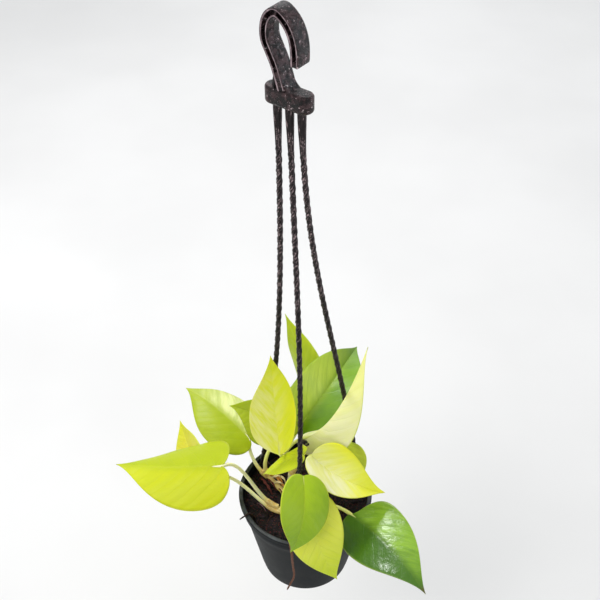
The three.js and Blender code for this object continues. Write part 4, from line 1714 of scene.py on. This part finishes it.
@dataclass
class Hook:
    """The moulding: a cross bar and an open hook whose band has pockets on both faces.

    middle is the band's middle, along the bar and up from its underside. pockets are the stretches
    of the band that have one on each face, as shares of its length, with a web between each two.
    foot is the outline of the foot under the band and foot_sweep the curve from there to the bar.
    highlight_columns are the faces of the section on its flanges' edges, which carry a painted highlight.
    """

    middle: tuple[Pair, ...] = (
        (-2, 14), (-6.9, 29), (-11.2, 38), (-14.6, 45), (-15.2, 52), (-13.9, 58.5), (-11, 63.2),
        (-6.5, 65.9), (-1.5, 63.8), (3.4, 59), (6.6, 53), (8.2, 47), (8.7, 41), (8.6, 33.5),
    )
    pockets: tuple[Pair, ...] = (
        (0.13, 0.29), (0.31, 0.49), (0.51, 0.6), (0.62, 0.78), (0.8, 0.97),
    )
    band: float = 6.4
    thickness: float = 13.0
    pocket_width: float = 3.2
    pocket_depth: float = 4.6
    bar_length: float = 37.0
    bar_height: float = 13.0
    bar_edge: float = 2.3
    foot: tuple[Pair, ...] = ((-10, 11), (-9.4, 16), (-9, 20), (-8.2, 24.8), (-7.5, 29))
    foot_sweep: tuple[Pair, ...] = ((-4.2, 29), (-0.5, 19), (1, 13), (12, 11))
    foot_margin: float = 1.7
    foot_depth: float = 2.6
    steps: int = 110
    highlight_columns: tuple[int, ...] = (2, 3, 9, 10, 19, 20, 26, 27)

    def line(self) -> list[tuple[Vector, Vector]]:
        """The band's middle in the hook's plane.

        Returns:
            The point and the direction at each station.
        """
        points = [Vector((a, 0, z)) for a, z in self.middle]
        ends = [points[0], *points, points[-1]]
        raw: list[Vector] = []
        for before, start, end, after in zip(ends, ends[1:], ends[2:], ends[3:]):
            leave, arrive = start + (end - before) / 6, end - (after - start) / 6
            raw += bezier_line((start, leave, arrive, end), 20)[:-1]
        raw.append(points[-1])
        route = Route(raw)
        return [route.at(route.length * share)[:2] for share in self.stations()]

    def stations(self) -> list[float]:
        """Where the band's section is set: closer at the pockets' ends.

        Returns:
            The shares of the band's length, in order.
        """
        marks = {i / self.steps for i in range(self.steps + 1)}
        for low, high in self.pockets:
            marks = {m for m in marks if min(abs(m - low), abs(m - high)) > 0.006}
            marks |= {low - 0.003, low + 0.003, high - 0.003, high + 0.003}
        return sorted(m for m in marks if 0 <= m <= 1)

    def section(self, share: float) -> list[Pair]:
        """The band's section.

        Args:
            share: The share of the band's length, from the bar to the free tip.

        Returns:
            Its points, across the band's width and through its thickness.
        """
        deep = any(low < share < high for low, high in self.pockets)
        depth = self.pocket_depth if deep else 0.25
        half, face = self.band / 2, self.thickness / 2
        lip = self.pocket_width / 2
        half -= 0.35 * smooth(0.985, 1.0, share)
        quarter = [(half, face - 0.7), (half - 0.2, face - 0.2), (half - 0.7, face), (lip + 0.25, face)]
        quarter += [(lip, face - 0.2), (lip - 0.1, face - depth + 0.2), (lip - 0.35, face - depth)]
        back = [(-u, w) for u, w in reversed(quarter)]
        upper = quarter + back
        lower = [(u, -w) for u, w in reversed(upper)]
        ridge = [(-half, 0.45), (-half - 0.22, 0.0), (-half, -0.45)]
        return upper + ridge + lower

    def add_band(self, mesh: Mesh) -> None:
        """Adds the hook's band: a grid whose rows are sections along the band.

        Args:
            mesh: The mesh that takes the band.
        """
        line = self.line()
        stations = self.stations()
        sides = len(self.section(0.0))
        steps = len(stations) - 1
        made = bmesh.ops.create_grid(mesh, x_segments=sides, y_segments=steps, size=0.5)
        # The flanges' edge faces take the painted highlight.
        for face in {f for v in made["verts"] for f in v.link_faces}:
            column = math.floor((face.calc_center_median().x + 0.5) * sides)
            face.material_index = int(column in self.highlight_columns)
        rings: dict[int, list[Vert]] = {}
        seam = []
        for v in made["verts"]:
            column = round((v.co.x + 0.5) * sides)
            row = round((v.co.y + 0.5) * steps)
            u, w = self.section(stations[row])[column % sides]
            point, along = line[row]
            spot = point + Vector((-along.z, 0, along.x)) * u
            v.co = placed(on_hanger(spot.x, w, spot.z))
            rings.setdefault(row, []).append(v)
            if column in (0, sides):
                seam.append(v)
        bmesh.ops.remove_doubles(mesh, verts=seam, dist=SEAM)
        for row in (0, steps):
            close_ring(mesh, rings[row])

    def add_bar(self, mesh: Mesh) -> None:
        """Adds the cross bar: a flat slab with round ends and soft edges.

        Args:
            mesh: The mesh that takes the bar.
        """
        half = self.thickness / 2
        end = self.bar_length / 2 - half
        made = bmesh.ops.create_circle(mesh, cap_ends=True, segments=56, radius=1.0)
        ring = made["verts"]
        for v in ring:
            shift = end if v.co.x >= 0 else -end
            v.co = placed(on_hanger(v.co.x * half + shift, v.co.y * half, 1.0))
        floor = list({f for v in ring for f in v.link_faces})
        grown = bmesh.ops.extrude_face_region(mesh, geom=floor, use_keep_orig=True)
        top = [g for g in grown["geom"] if isinstance(g, Vert)]
        bmesh.ops.translate(mesh, verts=top, vec=(0, 0, self.bar_height * MM))
        body = {f for v in [*ring, *top] for f in v.link_faces}
        bmesh.ops.recalc_face_normals(mesh, faces=list(body))
        rims = {e for f in body for e in f.edges if abs(e.verts[0].co.z - e.verts[1].co.z) < 1e-6}
        bmesh.ops.bevel(
            mesh, geom=list(rims), offset=self.bar_edge * MM, segments=5, profile=0.5, affect="EDGES",
            material=-1,
        )

    def add_foot(self, mesh: Mesh) -> None:
        """Adds the foot that spreads onto the bar, with a sunk panel on each face.

        Args:
            mesh: The mesh that takes the foot.
        """
        outline = [*self.foot, *(tuple(p) for p in bezier_line(self.foot_sweep, 12))]
        half = self.thickness / 2 - 0.8
        verts = [mesh.verts.new(placed(on_hanger(a, -half, z))) for a, z in outline]
        plate = mesh.faces.new(verts)
        grown = bmesh.ops.extrude_face_region(mesh, geom=[plate], use_keep_orig=True)
        back = [g for g in grown["geom"] if isinstance(g, Vert)]
        through = on_hanger(0, 2 * half, 0) - on_hanger(0, 0, 0)
        bmesh.ops.translate(mesh, verts=back, vec=through * MM)
        body = list({f for v in [*verts, *back] for f in v.link_faces})
        bmesh.ops.recalc_face_normals(mesh, faces=body)
        for face in [f for f in body if len(f.verts) == len(outline)]:
            bmesh.ops.inset_region(mesh, faces=[face], thickness=self.foot_margin * MM, depth=0.0)
            bmesh.ops.inset_region(mesh, faces=[face], thickness=0.25 * MM, depth=-self.foot_depth * MM)

    def build(self, plastic: Material, edge: Material) -> Object:
        """Builds the moulding and dresses it.

        Args:
            plastic: The material of the moulding.
            edge: The material of the painted highlight on its flanges' edges.

        Returns:
            The moulding.
        """
        mesh = new_mesh()
        self.add_bar(mesh)
        self.add_foot(mesh)
        self.add_band(mesh)
        bmesh.ops.recalc_face_normals(mesh, faces=list(mesh.faces))
        hook = finish_piece("hanger_hook", mesh, [plastic, edge], ["hook"])
        soften(hook, 42)
        return hook


@dataclass
class Strand:
    """A plastic strand: a grooved stretch under the bar, then a twist down to the collar.

    place is its place on the bar, in steps of STRAND_PITCH, and draw holds the two draw points of
    its route. The shank and the stud run out from the pot's axis between their two distances.
    """

    name: str
    place: float
    draw: tuple[Point, Point]
    radius: float = 2.2
    swell: float = 0.9
    groove: float = 0.3
    smooth_length: float = 36.0
    seat: float = 6.4
    end_radius: float = 53.2
    shank: Pair = (52.4, 58.2)
    shank_radius: float = 1.7
    stud: Pair = (57.75, 59.7)
    stud_radii: Pair = (3.3, 2.5)

    def route(self) -> Route:
        """The strand's way from its socket in the bar to the inside of the collar.

        Returns:
            The route.
        """
        azimuth = ANCHORS[self.name]
        out = (self.end_radius * math.cos(azimuth), self.end_radius * math.sin(azimuth))
        top = on_hanger(self.place * STRAND_PITCH, 0, 0)
        end = Vector((*out, ANCHOR_HEIGHT - self.radius))
        seat = on_hanger(self.place * STRAND_PITCH, 0, self.seat)
        return Route([seat, *bezier_line((top, *self.draw, end), 160), end + Vector((0, 0, 1.2))])

    def build(self, plastic: Material) -> Object:
        """Builds the strand with its shank and stud.

        Args:
            plastic: The strand's material.

        Returns:
            The strand.
        """
        mesh = new_mesh()

        def radius(distance: float, turn: float) -> float:
            """A flat core with fine ribs that winds round below the strand's grooved top.

            Args:
                distance: The distance along the route.
                turn: The turn round it, in radians.

            Returns:
                The radius.
            """
            twisted = smooth(self.smooth_length, self.smooth_length + 9, distance)
            wound = turn - 2 * math.pi * distance / STRAND_PLASTIC.turn_length
            wide = self.swell * (1 - smooth(6.5, 42, distance))
            groove = self.groove * (1 - twisted) * abs(math.cos(turn - 0.9)) ** 6
            flat = 1 + 0.1 * twisted * math.cos(2 * wound)
            ribs = 1 - 0.2 * twisted * (1 - abs(math.cos(2.5 * wound)))
            plug = smooth(4.8, 6.6, distance)
            return (self.radius + wide * plug) * flat * ribs * (1 - groove * plug) * between(0.8, 1, plug)

        add_tube(mesh, self.route(), radius, 640, 24)
        azimuth = ANCHORS[self.name]
        out = Vector((math.cos(azimuth), math.sin(azimuth), 0))
        base = Vector((0, 0, ANCHOR_HEIGHT))
        shank, stud = (Route([base + out * end for end in ends]) for ends in (self.shank, self.stud))
        add_tube(mesh, shank, lambda d, t: self.shank_radius, 3, 18)
        add_tube(mesh, stud, lambda d, t: between(*self.stud_radii, smooth(1.0, 1.95, d)), 8, 24)
        return finish_piece(
            f"twisted_strand_{self.name}", mesh, [plastic], [f"strand_{self.name}"]
        )


STRANDS = (
    Strand("front", 0, ((-7.9, 1, 347.6), (0.6, -12, 240.2))),
    Strand("right", 1, ((-1.4, -1, 347.6), (31.5, 26, 240.2))),
    Strand("left", -1, ((-17.2, 9, 347.6), (-18.1, 27, 240.2))),
)


# ---------------------------------------------------------------------------- stems and ends


@dataclass(frozen=True)
class Stem:
    """One rooted piece of the vine, with a sheath for each petiole that it holds.

    route starts with its place in the mix, from which it rises to its first bend.
    """

    name: str
    route: tuple[tuple[float, ...], ...]
    holds: tuple[str, ...]
    finish: FleshyStem = FleshyStem(low=(172, 132, 84), high=(232, 208, 128), reach=32)
    radius: float = 3.1
    sheath_radius: float = 2.6
    foot_height: float = 62
    straight_height: float = 78

    def build(self, sheath: Material) -> Object:
        """Builds the stem, its nodes and its sheaths.

        Args:
            sheath: The material of the sheaths.

        Returns:
            The stem.
        """
        mesh = new_mesh()
        place, *bends = self.route
        rise = [(*place, height) for height in (self.foot_height, self.straight_height)]
        route = Route(spline_line([*rise, *bends], 14))
        rings = [route.length - 14, route.length - 5]

        def radius(distance: float, turn: float) -> float:
            """The stem's radius, with a swollen ring at each node and a closed top.

            Args:
                distance: The distance along the route.
                turn: The turn round it, in radians. It is not used.

            Returns:
                The radius.
            """
            share = distance / route.length
            ring = sum(0.35 * math.exp(-(((distance - at) / 1.1) ** 2)) for at in rings)
            top = math.sqrt(max(0.02, 1 - smooth(route.length - 2.5, route.length, distance)))
            return (self.radius * (1 - 0.12 * share) - 0.35 + ring) * top

        add_tube(mesh, route, radius, 64, 20)
        for blade in LEAVES:
            if blade.name in self.holds:
                self.add_sheath(mesh, blade)
        stem = self.finish.material(f"{self.name}_stem")
        return finish_piece(f"vine_{self.name}", mesh, [stem, sheath], [f"stem_{self.name}"])

    def add_sheath(self, mesh: Mesh, blade: Blade) -> None:
        """Adds the papery sheath round the foot of a petiole.

        Args:
            mesh: The mesh that takes the sheath.
            blade: The leaf whose petiole it holds.
        """
        way = blade.route().stretch(0, blade.seat + 1.5, 40)
        seed = blade.seed()

        def radius(distance: float, turn: float) -> float:
            """The sheath's radius: ribbed, and drawn in at its torn end.

            Args:
                distance: The distance along the route.
                turn: The turn round it, in radians.

            Returns:
                The radius.
            """
            share = distance / way.length
            ribs = 0.07 * math.sin(9 * turn + seed) + 0.1 * math.sin(2 * turn + distance * 0.5)
            return self.sheath_radius - 0.25 * share + ribs * share - 1.0 * smooth(0.93, 1.0, share)

        add_tube(mesh, way, radius, 26, 18, material=1)


PALE_STEM = FleshyStem(low=(226, 202, 140), high=(250, 246, 196), reach=32)

STEMS = (
    Stem(
        "left", ((-15, -18), (-16, -18, 87), (-21, -17, 88), (-26.5, -14.5, 89.5)),
        holds=("left_large", "left_back"),
    ),
    Stem(
        "back_left", ((-19, 3), (-20, 4, 88), (-27, 11.5, 89.5), (-35, 21, 92)),
        holds=("upper_left", "behind_centre"),
    ),
    Stem(
        "centre", ((-14, 12), (-14, 12, 88), (-13.5, 11, 98), (-12.5, 10, 110)),
        holds=("centre", "centre_small"), finish=PALE_STEM,
    ),
    Stem(
        "back", ((-26, 25), (-26, 25, 88), (-25, 24.5, 93), (-23.5, 24, 99)),
        holds=("top_back", "back_dark", "right_pale"),
    ),
    Stem(
        "right", ((9, -13), (9, -13, 88), (9, -12.5, 97), (9.5, -11, 108)),
        holds=("right_yellow", "right_back", "front_green", "front_lime", "right_dark"),
    ),
)


@dataclass(frozen=True)
class LooseEnd:
    """A root or scrap of fibre that hangs over the rim, with a side branch or none."""

    name: str
    node: str
    radius: float
    points: tuple[Point, ...]
    finish: DryFibre
    steps: int = 90
    branch: tuple[Point, ...] = ()

    def build(self) -> Object:
        """Builds the root or fibre and dresses it.

        Returns:
            The piece.
        """
        mesh = new_mesh()
        route = Route(spline_line(self.points, 14))

        def radius(distance: float, turn: float) -> float:
            """The root's radius, uneven and thinner towards its end.

            Args:
                distance: The distance along the route.
                turn: The turn round it, in radians.

            Returns:
                The radius.
            """
            share = distance / route.length
            uneven = noise.noise(Vector((distance * 0.35, math.cos(turn), math.sin(turn)))) * 0.22
            return self.radius * (1 - 0.45 * share) * (1 + uneven) * (1 - 0.8 * smooth(0.97, 1.0, share))

        add_tube(mesh, route, radius, self.steps, 14)
        if self.branch:
            fork = Route(spline_line(self.branch, 10))
            add_tube(mesh, fork, lambda d, t: self.radius * between(0.8, 0.35, d / fork.length), 20, 10)
        material = self.finish.material(self.name)
        return finish_piece(self.name, mesh, [material], [self.node])


LOOSE_ENDS = (
    LooseEnd(
        "hanging_root", "air_root", 1.4,
        ((-15.2, -21.6, 87), (-14.6, -34, 88), (-14.5, -46, 91.5), (-14.2, -52.6, 96),
         (-13.7, -57.5, 96.9), (-12.5, -63.4, 92.5), (-11.4, -62.6, 72), (-10.6, -62, 53),
         (-14, -62, 41.5), (-17, -62, 32)),
        DryFibre(colour=(84, 46, 28), light=(132, 82, 54)),
    ),
    LooseEnd(
        "rim_fibre", "coir_scrap", 1.05,
        ((-45, -22.5, 85.3), (-48.3, -24, 92), (-50.2, -26.3, 96.2), (-53.5, -29, 96.4),
         (-58, -32, 95.4)),
        DryFibre(colour=(36, 20, 18), light=(74, 40, 32)),
        steps=40,
        branch=((-51, -27, 96), (-49, -24, 93.5), (-46.5, -20.5, 88)),
    ),
)


@dataclass(frozen=True)
class DriedScraps:
    """Shrivelled bits of sheath and fibre round the stems, all of one colour.

    lines holds half the width and the points of each.
    """

    name: str
    finish: DryFibre
    lines: tuple[tuple[float, tuple[Point, ...]], ...]

    def add_ribbon(self, mesh: Mesh, width: float, route: Route) -> None:
        """Adds one scrap, a flat and ragged ribbon.

        Args:
            mesh: The mesh that takes the scrap.
            width: Half its greatest width.
            route: The line that it follows.
        """

        def radius(distance: float, turn: float) -> float:
            """A ribbon's radius: flat, ragged and drawn in at both ends.

            Args:
                distance: The distance along the route.
                turn: The turn round it, in radians.

            Returns:
                The radius.
            """
            share = distance / route.length
            ends = math.sin(math.pi * min(0.96, max(0.04, share))) ** 0.5
            ragged = 1 + 0.3 * noise.noise(Vector((distance * 0.8, math.cos(turn), math.sin(turn))))
            return width * ends * ragged * (0.35 + 0.65 * abs(math.cos(turn + 0.5 * distance)))

        add_tube(mesh, route, radius, 30, 10)

    def build(self) -> Object:
        """Builds the scraps, which curl along their lines.

        Returns:
            The scraps.
        """
        mesh = new_mesh()
        for width, points in self.lines:
            self.add_ribbon(mesh, width, Route(spline_line(points, 10)))
        return finish_piece(self.name, mesh, [self.finish.material(self.name)], [])


SCRAPS = (
    DriedScraps("orange_scraps", DryFibre(colour=(206, 116, 40), light=(255, 204, 108)), (
        (1.3, ((-33, 19, 89), (-31, 18, 95), (-27.5, 15, 98.5), (-24, 11, 96.5), (-21, 8, 92))),
        (1.1, ((-30, 21, 92), (-28, 18.5, 98), (-24.5, 14, 99), (-20.5, 9, 95.5))),
        (0.9, ((-24, 12, 91), (-22.5, 9.5, 96), (-19.5, 6, 94), (-17.5, 4, 89))),
    )),
    DriedScraps("papery_scraps", DryFibre(colour=(244, 210, 130), light=(255, 250, 214)), (
        (1.2, ((-31, 17, 92), (-28, 13.5, 98), (-24.5, 12, 101), (-21, 12.5, 98))),
        (1.0, ((-29, 12, 90), (-26, 9, 96), (-22.5, 7.5, 97), (-19, 8, 92))),
        (1.0, ((-25, 17, 93), (-22, 13, 99), (-19, 10, 98.5), (-17.5, 8, 94))),
    )),
    DriedScraps("red_scraps", DryFibre(colour=(58, 22, 20), light=(138, 54, 44)), (
        (1.5, ((-42, 22, 85.5), (-40, 18.5, 89), (-36, 12.5, 89.5), (-32, 6, 88), (-30, 3, 85.5))),
        (1.0, ((-37, 22, 86), (-34.5, 16.5, 91), (-29.5, 10, 92.5), (-26, 5, 88))),
        (0.8, ((-26, 9, 88), (-23, 4.5, 91), (-20, 0.5, 88.5))),
    )),
    DriedScraps("dark_scraps", DryFibre(colour=(14, 11, 14), light=(70, 58, 62)), (
        (1.5, ((-4, 21, 140), (-1.5, 16, 143), (2, 14.5, 145), (4.5, 18.5, 145.5), (9, 19.5, 144.5))),
        (1.1, ((-3, 20, 139.5), (1.5, 11, 143.5), (4, 12.5, 145.5), (6.5, 16.5, 146.5))),
        (1.3, ((-2, 20, 140.5), (2, 16, 144.5), (6, 15.5, 146.5), (9.5, 18, 145.5))),
    )),
    DriedScraps("pink_scraps", DryFibre(colour=(124, 84, 94), light=(176, 136, 146)), (
        (0.6, ((-42.6, 51, 84.8), (-38, 45, 86.6), (-34.5, 40, 86.4), (-31.9, 37.2, 84.8))),
        (0.5, ((-44, -6, 84.8), (-40, -9, 86.2), (-37, -13, 86), (-35, -16, 84.8))),
    )),
)


# ---------------------------------------------------------------------------- studio


@dataclass(frozen=True)
class Lamp:
    """A soft square light that faces its aim: its size and places are in metres."""

    name: str
    place: Point
    size: float
    power: float
    colour: tuple[float, float, float]
    aim: Point = (0.0, 0.0, -0.38)
    spread: float = 180.0

    def build(self) -> None:
        """Adds the light to the scene."""
        data = bpy.data.lights.new(self.name, "AREA")
        data.shape = "SQUARE"
        data.size = self.size
        data.energy = self.power
        data.color = self.colour
        data.spread = math.radians(self.spread)
        lamp = bpy.data.objects.new(self.name, data)
        lamp.location = self.place
        way = Vector(self.aim) - Vector(self.place)
        lamp.rotation_euler = way.to_track_quat("-Z", "Y").to_euler()
        bpy.context.scene.collection.objects.link(lamp)


LAMPS = (
    Lamp("key_light", (-1.33, -0.98, 1.62), 1.6, 24.0, (1.0, 0.985, 0.96)),
    Lamp("window_light", (0.35, 1.87, 0.72), 1.2, 10.0, (0.98, 0.99, 1.0)),
    Lamp("side_light", (-0.5, 0.67, 0.86), 0.3, 9.5, (1.0, 1.0, 1.0)),
    Lamp("fill_light", (1.35, -1.17, -0.38), 0.9, 5.0, (0.96, 0.98, 1.0)),
    Lamp(
        "hook_light", (0.9, 0.16, 0.05), 0.16, 0.2, (0.86, 0.93, 1.0), aim=(0.0, 0.0, -0.03), spread=40.0
    ),
)


@dataclass
class Studio:
    """The pale floor, the soft light and the camera, in metres and degrees."""

    camera_place: Point = (0.0106, -0.5796, 0.272)
    tilt: float = 40.92
    roll: float = -0.31
    lens: float = 60.5
    sensor: float = 36.0
    floor_height: float = -0.72
    floor_half: float = 8.0
    floor_colours: tuple[Colour, Colour] = ((232, 231, 230), (238, 237, 236))
    sky: tuple[float, float, float, float] = (0.94, 0.97, 1.0, 1.0)
    sky_strength: float = 0.55

    def add_floor(self) -> None:
        """Adds the floor."""
        mesh = bmesh.new()
        bmesh.ops.create_grid(mesh, x_segments=2, y_segments=2, size=self.floor_half)
        bmesh.ops.translate(mesh, verts=mesh.verts, vec=(0, 0, self.floor_height))
        floor = new_object("floor", mesh)
        look = Surface("pale_floor")
        cloud = look.ramp(look.noise(look.place, 3.0, 3), 0.3, 0.7)
        shades = (linear(colour) for colour in self.floor_colours)
        look.set(Base_Color=look.mix(cloud, *shades), Roughness=0.9)
        floor.data.materials.append(look.material)

    def add_sky(self) -> None:
        """Adds the even light of the room."""
        world = bpy.data.worlds.new("studio")
        world.use_nodes = True
        light = world.node_tree.nodes["Background"].inputs
        light["Color"].default_value = self.sky
        light["Strength"].default_value = self.sky_strength
        bpy.context.scene.world = world

    def add_camera(self) -> None:
        """Adds the camera."""
        camera = bpy.data.cameras.new("camera")
        camera.lens = self.lens
        camera.sensor_width = self.sensor
        camera.clip_start = 0.01
        eye = bpy.data.objects.new("camera", camera)
        turn = Matrix.Rotation(math.radians(90 - self.tilt), 4, "X")
        turn = turn @ Matrix.Rotation(math.radians(self.roll), 4, "Z")
        eye.matrix_world = Matrix.Translation(self.camera_place) @ turn
        bpy.context.scene.collection.objects.link(eye)
        bpy.context.scene.camera = eye
        bpy.context.scene.view_settings.view_transform = "Standard"

    def build(self) -> None:
        """Sets the plant in an evenly lit white room."""
        self.add_floor()
        self.add_sky()
        for lamp in LAMPS:
            lamp.build()
        self.add_camera()


def main() -> None:
    """Builds the studio and every piece of the plant, in order."""
    logging.basicConfig(level=logging.INFO, format="%(name)s %(message)s")
    Studio().build()
    add_vein_group()
    add_grain_group()
    plastic = BROWN_BLACK.material("brown_black_plastic")
    sheath = DryFibre(colour=(236, 192, 100), light=(253, 234, 164)).material("dry_sheath")
    rope = STRAND_PLASTIC.material("twisted_plastic")
    for strand in STRANDS:
        strand.build(rope)
    Hook().build(plastic, EDGE_HIGHLIGHT.material("worn_edge"))
    Pot().build()
    PottingMix().build()
    for stem in STEMS:
        stem.build(sheath)
    for blade in LEAVES:
        blade.build()
    for end in (*LOOSE_ENDS, *SCRAPS):
        end.build()


if __name__ == "__main__":
    main()
